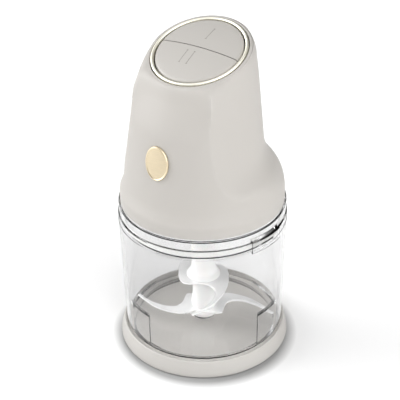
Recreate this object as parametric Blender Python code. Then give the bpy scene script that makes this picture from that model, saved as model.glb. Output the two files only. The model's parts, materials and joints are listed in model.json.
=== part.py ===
"""One-touch mini food chopper: anti-slip base, bowl, S-blades, bayonet lid and geared motor head.

Sizes below are millimetres; meshes are built in metres, +Z up, the badge facing -Y.
Angles called "bearing" are degrees round the vertical axis from the front (-Y) towards +X.
"""

import math

import bmesh
import bpy
from mathutils import Matrix, Vector

MM = 0.001
GAP = 0.3

# Base dish and its rubber ring
BASE_R = 65.0
BASE_TOP_Z = 14.0
BASE_TOP_R = 62.3
FOOT_INNER_R = 50.0
FOOT_OUTER_R = 60.0
FOOT_H = 2.7

# Bowl
BOWL_FLOOR_Z = 14.0
BOWL_BRIM_Z = 112.0
BOWL_LOW_R = 60.4
BOWL_DRAFT = 0.0245
BOWL_WALL = 2.1
BEAD_Z = 105.7
LUG_LOW_Z = 106.8
LUG_HIGH_Z = 109.2
LUG_R = 63.7
RIB_R = 56.4
RIB_TOP_Z = 44.0
RIB_BEARINGS = (-20.0, 88.0, 214.0)
RIB_SPAN = 20.0
TAB_BEARINGS = (80.6, 260.6)
TAB_SPAN = 26.0
LUG_SPAN = 12.0

# Spindle and blade stack
PIN_R = 3.0
PIN_LOW_Z = 13.1
PIN_HIGH_Z = 90.0
HUB_R = 6.0
SLEEVE_R = 8.7
HUB_LOW_Z = 19.6
HUB_CUP_Z = 106.0
HUB_TOP_Z = 118.6
CUP_R = 10.4
CUP_BORE_R = 8.2
BLADE_T = 1.2
LOWER_BLADE_Z = 21.9
UPPER_BLADE_Z = 50.0
UPPER_BLADE_DROP = 0.09
LOWER_BLADE_BEARING = 125.0
UPPER_BLADE_BEARING = 35.0
SEAT_FLANGE_R = 12.9

# Lid
LID_LOW_Z = 112.4
LID_TOP_Z = 121.0
LID_R = 62.1
COLLAR_R = 14.0
COLLAR_BORE_R = 12.0

# Motor head shell
HEAD_LOW_Z = 121.3
SHELL_T = 2.6
APRON_RADIUS = ((129.0, 60.8), (131.0, 60.5), (134.0, 59.2), (137.0, 58.0), (140.0, 57.3),
                (150.0, 56.3), (165.0, 54.8), (180.0, 53.1), (250.0, 42.9))
NECK_RADIUS = ((129.0, 60.8), (134.0, 60.5), (139.0, 59.6), (144.0, 57.9), (149.5, 54.9),
               (154.5, 51.0), (159.5, 47.9), (164.5, 45.9), (169.0, 45.0), (179.0, 44.1),
               (198.0, 42.5), (217.0, 40.9), (235.0, 39.0), (250.0, 37.4))
EDGE_BEARING = ((121.0, 64.0), (140.0, 62.0), (150.0, 56.0), (155.0, 51.5), (164.0, 46.5),
                (175.0, 43.6), (195.0, 42.0), (210.0, 42.4), (220.0, 45.0), (228.0, 50.0),
                (234.0, 60.0), (238.0, 76.0), (242.0, 86.0))
FLARE_SPAN = 40.0
SCOOP = 10.4
SCOOP_LOW_Z = 192.0
SCOOP_HIGH_Z = 232.0
SHOULDER = 4.2
SHOULDER_GROWTH = 1.15
INNER_SHOULDER = 9.0
SHOULDER_FULLNESS = 0.55
BODY_HEIGHTS = (HEAD_LOW_Z, 129.0, 132.0, 136.0, 141.0, 147.0, 153.0, 159.5, 166.0)
UPPER_STEPS = (0.2, 0.4, 0.58, 0.73, 0.86, 1.0)
SHARES = ((0.0, 0.17, 0.34, 0.5, 0.66, 0.8, 0.92, 1.0)
          + (1.04, 1.09, 1.15, 1.22, 1.3, 1.4, 1.5, 1.6, 1.7, 1.8, 1.9))
PANEL_TILT = math.radians(20.0)
PANEL_CENTRE = (0.0, -1.5, 238.4)
PANEL_HOLE_R = 35.3
PANEL_LIP_R = 35.9
PANEL_SEAT_DEPTH = 6.0
WELL_DEPTH = 9.2

# Panel parts, in the panel's own frame
RING_OUTER_R = 34.5
RING_INNER_R = 32.4
BUTTON_R = 31.2
BUTTON_SPLIT = 0.4
BUTTON_LOW = -4.2
BUTTON_RIM = 0.4
BUTTON_DOME = 3.0
STEM_R = 2.5
STEM_LOW = -9.6
STEM_OFFSET = 14.0
SEAT_LOW = -8.6
SEAT_HIGH = -6.4
SWITCH_TOP = -11.9
SWITCH_SIZE = (12.0, 6.0, 5.0)
MARK_LENGTH = 12.0
MARK_WIDTH = 0.9
LOW_MARKS = ((0.4, 15.0), )
HIGH_MARKS = ((-5.4, -10.8), (0.5, -10.8))

# Badge and cord gland, millimetres
BADGE_W = 19.0
BADGE_H = 25.0
BADGE_T = 1.1
BADGE_Z = 174.0
GLAND_R = 4.6
GLAND_Z = 128.0
GLAND_BORE_R = 2.4

# Screws that hold the bottom cover
SCREW_BEARINGS = (60.0, 180.0, 300.0)
SCREW_PITCH_R = 44.0
SCREW_R = 1.6

# Planetary gears
MODULE = 1.25
PRESSURE_ANGLE = math.radians(25.0)
SUN_TEETH = 12
PLANET_TEETH = 12
RING_TEETH = 36
BACKLASH = 0.3
GEAR_LOW_Z = 131.6
GEAR_HIGH_Z = 142.0
PLANET_BEARINGS = (90.0, 210.0, 330.0)

# Motor
SHAFT_R = 2.5
MOTOR_Z = 146.3
CAN_R = 27.7
CAN_LOW_Z = 164.5
CAN_HIGH_Z = 209.0

ROUND = 48
MEDIUM = 24
SMALL = 16
GEARBOX_STEPS = 32

FINISHES = {
    "cream_satin": ((0.66, 0.63, 0.58, 1.0), 0.35, 0.0),
    "clear_plastic": ((0.86, 0.88, 0.88, 0.35), 0.08, 0.0),
    "white_plastic": ((0.86, 0.86, 0.84, 1.0), 0.4, 0.0),
    "black_plastic": ((0.03, 0.03, 0.035, 1.0), 0.45, 0.0),
    "grey_plastic": ((0.35, 0.36, 0.37, 1.0), 0.5, 0.0),
    "nylon": ((0.8, 0.79, 0.72, 1.0), 0.5, 0.0),
    "pale_gold": ((0.76, 0.64, 0.42, 1.0), 0.3, 1.0),
    "blade_steel": ((0.62, 0.63, 0.64, 1.0), 0.25, 1.0),
    "steel": ((0.5, 0.51, 0.52, 1.0), 0.35, 1.0),
    "lamination": ((0.28, 0.28, 0.29, 1.0), 0.55, 1.0),
    "ferrite": ((0.08, 0.08, 0.085, 1.0), 0.7, 0.0),
    "copper": ((0.72, 0.34, 0.18, 1.0), 0.35, 1.0),
    "bronze": ((0.55, 0.36, 0.16, 1.0), 0.4, 1.0),
    "carbon": ((0.05, 0.05, 0.05, 1.0), 0.8, 0.0),
    "rubber": ((0.16, 0.16, 0.16, 1.0), 0.85, 0.0),
    "seal_rubber": ((0.8, 0.8, 0.78, 1.0), 0.6, 0.0),
    "board_green": ((0.05, 0.22, 0.1, 1.0), 0.5, 0.0),
}


def clear_scene():
    """Remove every object of the open scene."""
    for old in list(bpy.data.objects):
        bpy.data.objects.remove(old, do_unlink=True)


def add_object(name, bm, finish, location=(0, 0, 0), parent=None, smooth_angle=35.0):
    """Turn a bmesh drawn in millimetres into a shaded, named object."""
    bmesh.ops.remove_doubles(bm, verts=bm.verts, dist=0.0005)
    bmesh.ops.scale(bm, vec=(MM, MM, MM), verts=bm.verts)
    bmesh.ops.recalc_face_normals(bm, faces=bm.faces)
    mesh = bpy.data.meshes.new(name)
    bm.to_mesh(mesh)
    bm.free()
    mesh.shade_smooth()
    mesh.set_sharp_from_angle(angle=math.radians(smooth_angle))
    colour, roughness, metallic = FINISHES[finish]
    material = bpy.data.materials.new(name + "_" + finish)
    material.use_nodes = True
    shader = material.node_tree.nodes["Principled BSDF"]
    shader.inputs["Base Color"].default_value = colour
    shader.inputs["Roughness"].default_value = roughness
    shader.inputs["Metallic"].default_value = metallic
    mesh.materials.append(material)
    obj = bpy.data.objects.new(name, mesh)
    bpy.context.collection.objects.link(obj)
    obj.location = Vector(location) * MM
    if parent is not None:
        obj.parent = parent
    return obj


def add_empty(name, location, tilt=0.0):
    """Add an empty that carries the parts on one joint axis."""
    empty = bpy.data.objects.new(name, None)
    bpy.context.collection.objects.link(empty)
    empty.location = Vector(location) * MM
    empty.rotation_euler = (tilt, 0.0, 0.0)
    empty.empty_display_size = 0.02
    return empty


def bearing_point(radius, bearing, z=0.0):
    """Point at a radius and a bearing (degrees from the front towards +X)."""
    angle = math.radians(bearing)
    return (radius * math.sin(angle), -radius * math.cos(angle), z)


def spin_profile(profile, steps=ROUND, start=None, sweep=None, bm=None):
    """Turn a closed (radius, z) outline round Z, fully or as a sector between bearings."""
    bm = bm or bmesh.new()
    first = 0.0 if start is None else start
    verts = [bm.verts.new(bearing_point(r, first, z)) for r, z in profile]
    count = len(profile)
    edges = []
    for i in range(count):
        on_axis = profile[i][0] == 0.0 and profile[(i + 1) % count][0] == 0.0
        if not on_axis:
            edges.append(bm.edges.new((verts[i], verts[(i + 1) % count])))
    full = sweep is None
    angle = 2.0 * math.pi if full else math.radians(sweep)
    if not full:
        bm.faces.new(verts)
    result = bmesh.ops.spin(bm, geom=verts + edges, cent=(0, 0, 0), axis=(0, 0, 1),
                            dvec=(0, 0, 0), angle=angle, steps=steps, use_merge=full)
    if not full:
        last = [v for v in result["geom_last"] if isinstance(v, bmesh.types.BMVert)]
        bm.faces.new(last)
    bmesh.ops.remove_doubles(bm, verts=bm.verts, dist=0.0005)
    bmesh.ops.recalc_face_normals(bm, faces=bm.faces)
    return bm


def flat_plate(loops, low, high, bm=None):
    """Fill closed XY loops (the outline, then its holes) and raise them into a plate."""
    bm = bm or bmesh.new()
    edges = []
    for loop in loops:
        verts = [bm.verts.new((x, y, low)) for x, y in loop]
        for i, vert in enumerate(verts):
            edges.append(bm.edges.new((vert, verts[(i + 1) % len(verts)])))
    filled = bmesh.ops.triangle_fill(bm, edges=edges, use_beauty=True)
    faces = [f for f in filled["geom"] if isinstance(f, bmesh.types.BMFace)]
    raised = bmesh.ops.extrude_face_region(bm, geom=faces)
    top = [v for v in raised["geom"] if isinstance(v, bmesh.types.BMVert)]
    bmesh.ops.translate(bm, verts=top, vec=(0, 0, high - low))
    bmesh.ops.recalc_face_normals(bm, faces=bm.faces)
    return bm


def circle(radius, count, centre=(0.0, 0.0)):
    """List the XY points of a circle."""
    points = []
    for i in range(count):
        angle = 2.0 * math.pi * i / count
        points.append((centre[0] + radius * math.cos(angle), centre[1] + radius * math.sin(angle)))
    return points


def box(centre, size, bm=None):
    """Add a block to a bmesh."""
    bm = bm or bmesh.new()
    made = bmesh.ops.create_cube(bm, size=1.0)
    bmesh.ops.scale(bm, vec=size, verts=made["verts"])
    bmesh.ops.translate(bm, vec=centre, verts=made["verts"])
    return bm


def combine(obj, cutter_bm, operation):
    """Join or cut an object with a tool body and keep only the result."""
    tool = add_object("tool", cutter_bm, "steel")
    modifier = obj.modifiers.new("tool", "BOOLEAN")
    modifier.solver = "EXACT"
    modifier.operation = operation
    modifier.object = tool
    bpy.context.view_layer.update()
    shaped = bpy.data.meshes.new_from_object(obj.evaluated_get(bpy.context.evaluated_depsgraph_get()))
    obj.modifiers.clear()
    plain = obj.data
    obj.data = shaped
    while len(shaped.materials) > 1:
        shaped.materials.pop(index=len(shaped.materials) - 1)
    shaped.name = obj.name
    bpy.data.meshes.remove(plain)
    bpy.data.objects.remove(tool, do_unlink=True)
    shaped.shade_smooth()
    shaped.set_sharp_from_angle(angle=math.radians(35.0))


# ---------------------------------------------------------------- base


def build_base():
    """Dish that grips the worktop and holds the bowl's foot."""
    profile = [
        (0.0, 3.0), (60.3, 3.0), (60.3, 0.8), (64.5, 0.8), (BASE_R, 1.6), (64.7, 4.0),
        (BASE_TOP_R + 0.2, BASE_TOP_Z - 0.8), (BASE_TOP_R - 0.4, BASE_TOP_Z),
        (61.1, BASE_TOP_Z), (60.8, BASE_TOP_Z - 0.5), (60.5, 6.0), (0.0, 6.0),
    ]
    add_object("base_ring", spin_profile(profile), "cream_satin")
    foot = [(FOOT_INNER_R, 0.3), (FOOT_INNER_R + 0.3, 0.0), (FOOT_OUTER_R - 0.3, 0.0),
            (FOOT_OUTER_R, 0.3), (FOOT_OUTER_R, FOOT_H), (FOOT_INNER_R, FOOT_H)]
    add_object("foot_ring", spin_profile(foot), "rubber")


# ---------------------------------------------------------------- bowl


def bowl_radius(z):
    """Outer radius of the drafted bowl wall."""
    return BOWL_LOW_R + (z - BOWL_FLOOR_Z) * BOWL_DRAFT


def build_bowl():
    """Clear bowl with a spindle boss, inner ribs, a bead and two bayonet lugs."""
    bead = bowl_radius(BEAD_Z)
    brim = bowl_radius(BOWL_BRIM_Z)
    profile = [
        (0.0, 11.5), (53.0, 11.5), (54.5, 6.3), (59.0, 6.3), (59.7, 7.2), (60.2, 11.5),
        (bead, BEAD_Z - 0.8), (bead + 0.28, BEAD_Z - 0.4), (bead + 0.28, BEAD_Z + 0.4),
        (bead + 0.03, BEAD_Z + 0.8), (brim, BOWL_BRIM_Z - 0.6), (brim - 0.5, BOWL_BRIM_Z),
        (brim - BOWL_WALL + 0.3, BOWL_BRIM_Z), (brim - BOWL_WALL, BOWL_BRIM_Z - 0.5),
        (bowl_radius(17.0) - BOWL_WALL, 17.0), (57.2, BOWL_FLOOR_Z + 0.8),
        (55.5, BOWL_FLOOR_Z), (9.0, BOWL_FLOOR_Z), (9.0, 15.6), (6.8, 15.6), (6.8, 18.4),
        (6.3, 18.9), (PIN_R + GAP, 18.9), (PIN_R + GAP, PIN_LOW_Z - GAP), (0.0, PIN_LOW_Z - GAP),
    ]
    bowl = add_object("bowl", spin_profile(profile), "clear_plastic")
    rib = [(bowl_radius(15.0) - 1.0, BOWL_FLOOR_Z - 0.6), (bowl_radius(RIB_TOP_Z) - 1.0, RIB_TOP_Z),
           (bowl_radius(RIB_TOP_Z) - BOWL_WALL, RIB_TOP_Z), (RIB_R, RIB_TOP_Z - 3.0),
           (RIB_R, BOWL_FLOOR_Z - 0.6)]
    added = bmesh.new()
    for bearing in RIB_BEARINGS:
        spin_profile(rib, 4, bearing - RIB_SPAN / 2.0, RIB_SPAN, added)
    lug = [(bowl_radius(LUG_LOW_Z) - 1.0, LUG_LOW_Z), (LUG_R, LUG_LOW_Z), (LUG_R, LUG_HIGH_Z - 0.6),
           (LUG_R - 0.5, LUG_HIGH_Z), (bowl_radius(LUG_HIGH_Z) - 1.0, LUG_HIGH_Z)]
    for bearing in TAB_BEARINGS:
        spin_profile(lug, 3, bearing - LUG_SPAN / 2.0, LUG_SPAN, added)
    combine(bowl, added, "UNION")
    pin = [(0.0, PIN_LOW_Z), (PIN_R, PIN_LOW_Z), (PIN_R, PIN_HIGH_Z - 2.0),
           (PIN_R - 1.6, PIN_HIGH_Z), (0.0, PIN_HIGH_Z)]
    add_object("bowl_pin", spin_profile(pin, SMALL), "steel")


# ---------------------------------------------------------------- blades


def lower_arm():
    """Slim arm: short serrated root, long back edge to the tip, inner edge and a blunt heel."""
    root = [(8.6, 9.2), (10.4, 12.6), (11.6, 11.0), (12.9, 13.2), (14.1, 11.6), (15.4, 13.4),
            (16.6, 11.9), (18.0, 12.9)]
    back = [(24.0, 11.3), (30.5, 8.6), (36.5, 5.0), (41.5, 0.6), (46.5, -5.0), (52.5, -12.2)]
    inner = [(50.8, -13.0), (46.0, -8.2), (41.0, -4.0), (35.0, -0.2), (29.0, 2.4), (22.0, 2.6),
             (17.8, 0.4)]
    heel = [(15.9, -4.0), (14.8, -9.0), (13.6, -12.6), (9.5, -12.8), (4.0, -11.6)]
    return root + back + inner + heel


def upper_arm():
    """Sickle arm: broad rounded root beside the hub, then a hook that narrows to the tip."""
    root = [(-12.6, 6.0), (-13.0, 11.0), (-11.2, 15.6), (-6.8, 18.4), (0.0, 19.4), (8.0, 19.2)]
    back = [(15.0, 18.0), (22.0, 15.8), (29.0, 12.4), (35.0, 8.2), (40.5, 3.0), (45.0, -3.0),
            (48.4, -8.6)]
    inner = [(46.8, -9.4), (43.2, -4.2), (39.3, 0.6), (34.3, 4.8), (29.0, 7.6), (24.0, 8.6),
             (19.6, 7.6), (15.8, 4.8), (13.4, 0.6), (12.6, -4.0)]
    return root + back + inner


def build_blade(name, arm, z, bearing, drop):
    """S-shaped plate with two arms round a collar, its arms falling by drop per millimetre."""
    turn = math.radians(bearing - 90.0)
    outline = []
    for half in range(2):
        side = -1.0 if half else 1.0
        for x, y in arm:
            px = side * x
            py = side * y
            outline.append((px * math.cos(turn) - py * math.sin(turn),
                            px * math.sin(turn) + py * math.cos(turn)))
    bm = flat_plate([outline, circle(HUB_R + GAP, 24)], z, z + BLADE_T)
    for vert in bm.verts:
        reach = max(0.0, math.hypot(vert.co.x, vert.co.y) - CUP_R - 4.0)
        vert.co.z -= drop * reach
    add_object(name, bm, "blade_steel", smooth_angle=20.0)


def build_blades():
    """Moulded hub on the spindle, two S-blades and the sleeves between them."""
    spindle = PIN_R + GAP
    hub = [
        (spindle, HUB_LOW_Z), (7.4, HUB_LOW_Z), (7.4, HUB_LOW_Z - 3.4), (9.8, HUB_LOW_Z - 3.4),
        (10.6, HUB_LOW_Z - 2.6), (11.2, HUB_LOW_Z + 1.2), (10.8, LOWER_BLADE_Z - GAP),
        (HUB_R, LOWER_BLADE_Z - GAP), (HUB_R, HUB_CUP_Z), (SLEEVE_R, HUB_CUP_Z + 0.8),
        (CUP_R, HUB_CUP_Z + 3.0), (CUP_R, HUB_TOP_Z - 0.6), (CUP_R - 0.6, HUB_TOP_Z),
        (CUP_BORE_R, HUB_TOP_Z), (CUP_BORE_R, 111.0), (0.0, 111.0), (0.0, PIN_HIGH_Z + 2.0),
        (spindle, PIN_HIGH_Z + 1.0),
    ]
    blade_hub = add_object("blade_hub", spin_profile(hub, MEDIUM), "white_plastic")
    dog = [(4.6, 110.0), (CUP_BORE_R + 0.8, 110.0), (CUP_BORE_R + 0.8, 116.6), (4.6, 116.6)]
    dogs = bmesh.new()
    for bearing in (0.0, 180.0):
        spin_profile(dog, 3, bearing - 18.0, 36.0, dogs)
    combine(blade_hub, dogs, "UNION")

    lower_top = LOWER_BLADE_Z + BLADE_T + GAP
    upper_seat = UPPER_BLADE_Z - GAP
    spacer = [(HUB_R + GAP, lower_top), (9.6, lower_top), (9.9, lower_top + 3.0), (SLEEVE_R, 34.0),
              (SLEEVE_R - 0.4, upper_seat - 4.0), (10.4, upper_seat), (HUB_R + GAP, upper_seat)]
    add_object("hub_spacer", spin_profile(spacer, MEDIUM), "white_plastic")
    upper_top = UPPER_BLADE_Z + BLADE_T + GAP
    sleeve_top = HUB_CUP_Z - 0.5
    sleeve = [(HUB_R + GAP, upper_top), (SEAT_FLANGE_R, upper_top),
              (SEAT_FLANGE_R, upper_top + 0.8), (10.6, upper_top + 3.6), (9.4, upper_top + 8.0),
              (SLEEVE_R, upper_top + 16.0), (SLEEVE_R - 0.4, sleeve_top), (HUB_R + GAP, sleeve_top)]
    add_object("hub_sleeve", spin_profile(sleeve, MEDIUM), "white_plastic")
    build_blade("lower_blade", lower_arm(), LOWER_BLADE_Z, LOWER_BLADE_BEARING, 0.0)
    build_blade("upper_blade", upper_arm(), UPPER_BLADE_Z, UPPER_BLADE_BEARING, UPPER_BLADE_DROP)


# ---------------------------------------------------------------- lid


def build_lid():
    """Clear lid with an outer skirt, a plug skirt, a drive collar and two bayonet tabs."""
    profile = [
        (LID_R - 0.2, LID_LOW_Z), (LID_R, LID_LOW_Z + 0.3), (LID_R, LID_TOP_Z - 0.4),
        (LID_R - 0.4, LID_TOP_Z), (COLLAR_BORE_R, LID_TOP_Z), (COLLAR_BORE_R, 107.0),
        (COLLAR_R, 107.0), (COLLAR_R, 118.4), (56.2, 118.4), (56.4, 104.4), (58.0, 104.0),
        (58.2, 118.4), (60.4, 118.4), (60.4, LID_LOW_Z),
    ]
    lid = add_object("lid", spin_profile(profile), "clear_plastic")
    tab = [(61.0, 112.8), (61.0, 116.0), (62.4, 116.0), (64.9, 113.4), (65.0, 104.9), (64.7, 104.5),
           (63.25, 104.5), (63.25, LUG_LOW_Z - GAP), (LUG_R + GAP, LUG_LOW_Z - GAP),
           (LUG_R + GAP, 112.8)]
    tabs = bmesh.new()
    for bearing in TAB_BEARINGS:
        spin_profile(tab, 6, bearing - TAB_SPAN / 2.0, TAB_SPAN, tabs)
    combine(lid, tabs, "UNION")
    seal = [(58.6, 107.0), (60.0, 107.2), (59.6, 109.6), (58.6, 109.8)]
    add_object("lid_seal", spin_profile(seal), "seal_rubber")


# ---------------------------------------------------------------- motor head shell


def blend(low, high, value):
    """Smooth 0 to 1 step between two heights."""
    t = min(1.0, max(0.0, (value - low) / (high - low)))
    return t * t * (3.0 - 2.0 * t)


def between(table, value):
    """Read a (height, value) table with straight lines between its rows."""
    if value <= table[0][0]:
        return table[0][1]
    for (z0, v0), (z1, v1) in zip(table, table[1:]):
        if value <= z1:
            return v0 + (v1 - v0) * (value - z0) / (z1 - z0)
    return table[-1][1]


def apron_radius(z, share):
    """Radius of the front apron, share being 0 on the centre line and 1 at its side edges."""
    scoop = SCOOP * blend(SCOOP_LOW_Z, SCOOP_HIGH_Z, z) * (1.0 - share ** 3)
    return between(APRON_RADIUS, z) - scoop


def shell_column(share):
    """Give a function of height for one column: 0..1 across the apron, 1..2 round the back."""
    def at(z):
        edge = between(EDGE_BEARING, z)
        if share <= 1.0:
            return edge * share, apron_radius(z, share)
        apron = apron_radius(z, 1.0)
        neck = between(NECK_RADIUS, z)
        bearing = edge + (180.0 - edge) * (share - 1.0)
        if neck >= apron:
            return bearing, apron + (neck - apron) * blend(edge, edge + FLARE_SPAN, bearing)
        tangent = edge + math.degrees(math.acos(neck / apron))
        if bearing < tangent:
            return bearing, neck / math.cos(math.radians(tangent - bearing))
        return bearing, neck
    return at


def shoulder_depth(bearing, radius):
    """Height of the rounded shoulder below the rim: larger where the body stands further out."""
    x, y, _ = panel_point(PANEL_LIP_R, bearing, 0.0)
    return SHOULDER + SHOULDER_GROWTH * max(0.0, radius - math.hypot(x, y))


def panel_point(radius, bearing, depth):
    """Point on the tilted control panel, depth being measured along its normal."""
    x, y, _ = bearing_point(radius, bearing)
    cosine = math.cos(PANEL_TILT)
    sine = math.sin(PANEL_TILT)
    return (x, PANEL_CENTRE[1] + y * cosine - depth * sine,
            PANEL_CENTRE[2] + y * sine + depth * cosine)


def shell_loops(inset, extra_drop):
    """Point loops up the shell, moved inwards by inset, ending under the panel's rim."""
    loops = []
    signed = [(s, 1.0) for s in SHARES] + [(2.0, 1.0)] + [(s, -1.0) for s in reversed(SHARES[1:])]
    for z in BODY_HEIGHTS:
        loop = []
        for share, side in signed:
            bearing, radius = shell_column(share)(z)
            loop.append(bearing_point(radius - inset, side * bearing, z))
        loops.append(loop)
    for step in UPPER_STEPS:
        loop = []
        for share, side in signed:
            column = shell_column(share)
            bearing = between(((0.0, 0.0), (1.0, 72.0), (2.0, 180.0)), share)
            radius = PANEL_LIP_R
            for _ in range(8):
                drop = shoulder_depth(bearing, radius) + extra_drop
                rim = panel_point(PANEL_LIP_R, bearing, 0.0)[2] - drop
                z = BODY_HEIGHTS[-1] + (rim - BODY_HEIGHTS[-1]) * step
                bearing, radius = column(z)
            loop.append(bearing_point(radius - inset, side * bearing, z))
        loops.append(loop)
    return loops


def panel_loop(reference, radius, depth):
    """Loop on the panel whose points stand at the same bearings as a reference loop."""
    loop = []
    for x, y, _ in reference:
        bearing = math.degrees(math.atan2(x, -(y - PANEL_CENTRE[1])))
        loop.append(panel_point(radius, bearing, depth))
    return loop


def shoulder_loops(below, top, rim):
    """Loops of a rounded shoulder that leaves the wall upwards and meets the rim level."""
    loops = []
    for t in (0.25, 0.5, 0.75):
        loop = []
        for under, low, high in zip(below, top, rim):
            start = Vector(low)
            end = Vector(high)
            rise = end.z - start.z
            run = (end - start).xy.length
            upward = start + (start - Vector(under)).normalized() * rise * SHOULDER_FULLNESS
            level = end + Vector((start.x - end.x, start.y - end.y, 0.0)).normalized() * (
                run * SHOULDER_FULLNESS)
            point = (start * (1.0 - t) ** 3 + upward * 3.0 * t * (1.0 - t) ** 2
                     + level * 3.0 * t * t * (1.0 - t) + end * t ** 3)
            loop.append(tuple(point))
        loops.append(loop)
    return loops


def build_housing():
    """Cream shell: round foot band, front apron with creased edges, neck and tilted top."""
    outer = shell_loops(0.0, 0.0)
    top = outer[-1]
    outer += shoulder_loops(outer[-2], top, panel_loop(top, PANEL_LIP_R, -0.5))
    outer.append(panel_loop(top, PANEL_LIP_R, -0.5))
    outer.append(panel_loop(top, PANEL_HOLE_R, -0.9))
    outer.append(panel_loop(top, PANEL_HOLE_R, -WELL_DEPTH))
    inner = shell_loops(SHELL_T, INNER_SHOULDER)
    inner = inner[:2] + inner[3::2]
    loops = outer + list(reversed(inner))
    bm = bmesh.new()
    rings = [[bm.verts.new(point) for point in loop] for loop in loops]
    count = len(rings[0])
    for low, high in zip(rings, rings[1:] + rings[:1]):
        for i in range(count):
            j = (i + 1) % count
            bm.faces.new((low[i], low[j], high[j], high[i]))
    housing = add_object("motor_housing", bm, "cream_satin", smooth_angle=28.0)
    hole = bmesh.new()
    bmesh.ops.create_cone(hole, cap_ends=True, segments=SMALL, radius1=GLAND_R + GAP,
                          radius2=GLAND_R + GAP, depth=12.0)
    bmesh.ops.rotate(hole, verts=hole.verts, cent=(0, 0, 0),
                     matrix=Matrix.Rotation(math.radians(90.0), 3, "X"))
    bmesh.ops.translate(hole, verts=hole.verts, vec=(0.0, 60.0, GLAND_Z))
    combine(housing, hole, "DIFFERENCE")


def build_gland():
    """Bush at the back where the lead enters."""
    profile = [(GLAND_BORE_R, 0.0), (GLAND_R, 0.0), (GLAND_R, 3.4), (GLAND_R + 1.4, 3.4),
               (GLAND_R + 1.2, 5.4), (GLAND_R + 0.6, 6.0), (GLAND_BORE_R, 6.0)]
    bm = spin_profile(profile, SMALL)
    bmesh.ops.rotate(bm, verts=bm.verts, cent=(0, 0, 0),
                     matrix=Matrix.Rotation(math.radians(-90.0), 3, "X"))
    add_object("cord_gland", bm, "rubber", location=(0.0, 57.8, GLAND_Z))


def build_badge():
    """Plain oval plate that follows the apron's cone."""
    rows = 10
    columns = 8
    bm = bmesh.new()
    bmesh.ops.create_grid(bm, x_segments=columns, y_segments=rows, size=1.0)
    for vert in bm.verts:
        u = vert.co.x
        v = vert.co.y
        vert.co.x = BADGE_W / 2.0 * u * math.sqrt(1.0 - v * v / 2.0)
        vert.co.y = BADGE_H / 2.0 * v * math.sqrt(1.0 - u * u / 2.0)
    faces = list(bm.faces)
    raised = bmesh.ops.extrude_face_region(bm, geom=faces)
    for vert in [v for v in raised["geom"] if isinstance(v, bmesh.types.BMVert)]:
        edge = (2.0 * vert.co.x / BADGE_W) ** 2 + (2.0 * vert.co.y / BADGE_H) ** 2
        vert.co.z = BADGE_T + 0.5 * (1.0 - edge)
    for vert in bm.verts:
        z = BADGE_Z + vert.co.y
        radius = apron_radius(z, 0.0) + GAP + vert.co.z
        vert.co = bearing_point(radius, math.degrees(vert.co.x / radius), z)
    add_object("badge_plate", bm, "pale_gold")


def build_bottom_cover():
    """Round plate that closes the head, held by three screws."""
    loops = [circle(57.4, ROUND), circle(11.0, 24)]
    for bearing in SCREW_BEARINGS:
        x, y, _ = bearing_point(SCREW_PITCH_R, bearing)
        loops.append(circle(SCREW_R + GAP, 12, (x, y)))
    cover = add_object("bottom_cover", flat_plate(loops, 121.6, 124.2), "cream_satin")
    recesses = bmesh.new()
    for bearing in SCREW_BEARINGS:
        x, y, _ = bearing_point(SCREW_PITCH_R, bearing)
        flat_plate([circle(3.6, 12, (x, y))], 121.0, 123.4, recesses)
    combine(cover, recesses, "DIFFERENCE")
    shank = [(0.0, 121.9), (2.9, 121.9), (3.2, 122.3), (3.2, 123.1), (SCREW_R, 123.1),
             (SCREW_R, 131.0), (0.0, 131.6)]
    for i, bearing in enumerate(SCREW_BEARINGS):
        spot = bearing_point(SCREW_PITCH_R, bearing, 0.0)
        add_object("cover_screw_%d" % (i + 1), spin_profile(shank, 12), "steel", location=spot)


# ---------------------------------------------------------------- control panel


def build_panel():
    """Gold trim ring, dark seat, two half-round push buttons and their switches."""
    panel = add_empty("panel_frame", PANEL_CENTRE, PANEL_TILT)
    ring = [(RING_INNER_R, -PANEL_SEAT_DEPTH), (RING_OUTER_R, -PANEL_SEAT_DEPTH),
            (RING_OUTER_R, 0.1), (RING_OUTER_R - 0.5, 0.55), (RING_INNER_R + 0.5, 0.55),
            (RING_INNER_R, 0.1)]
    add_object("trim_ring", spin_profile(ring), "pale_gold", parent=panel)
    holes = [circle(STEM_R + 0.6, 16, (0.0, STEM_OFFSET)), circle(STEM_R + 0.6, 16, (0.0, -STEM_OFFSET))]
    seat = flat_plate([circle(RING_OUTER_R - 0.1, ROUND)] + holes, SEAT_LOW, SEAT_HIGH)
    add_object("button_seat", seat, "black_plastic", parent=panel)
    build_button("button_low", panel, 1.0, LOW_MARKS)
    build_button("button_high", panel, -1.0, HIGH_MARKS)
    for name, side in (("switch_low", 1.0), ("switch_high", -1.0)):
        centre = (0.0, side * STEM_OFFSET, SWITCH_TOP - SWITCH_SIZE[2] / 2.0)
        add_object(name, box(centre, SWITCH_SIZE), "black_plastic", parent=panel)


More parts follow.
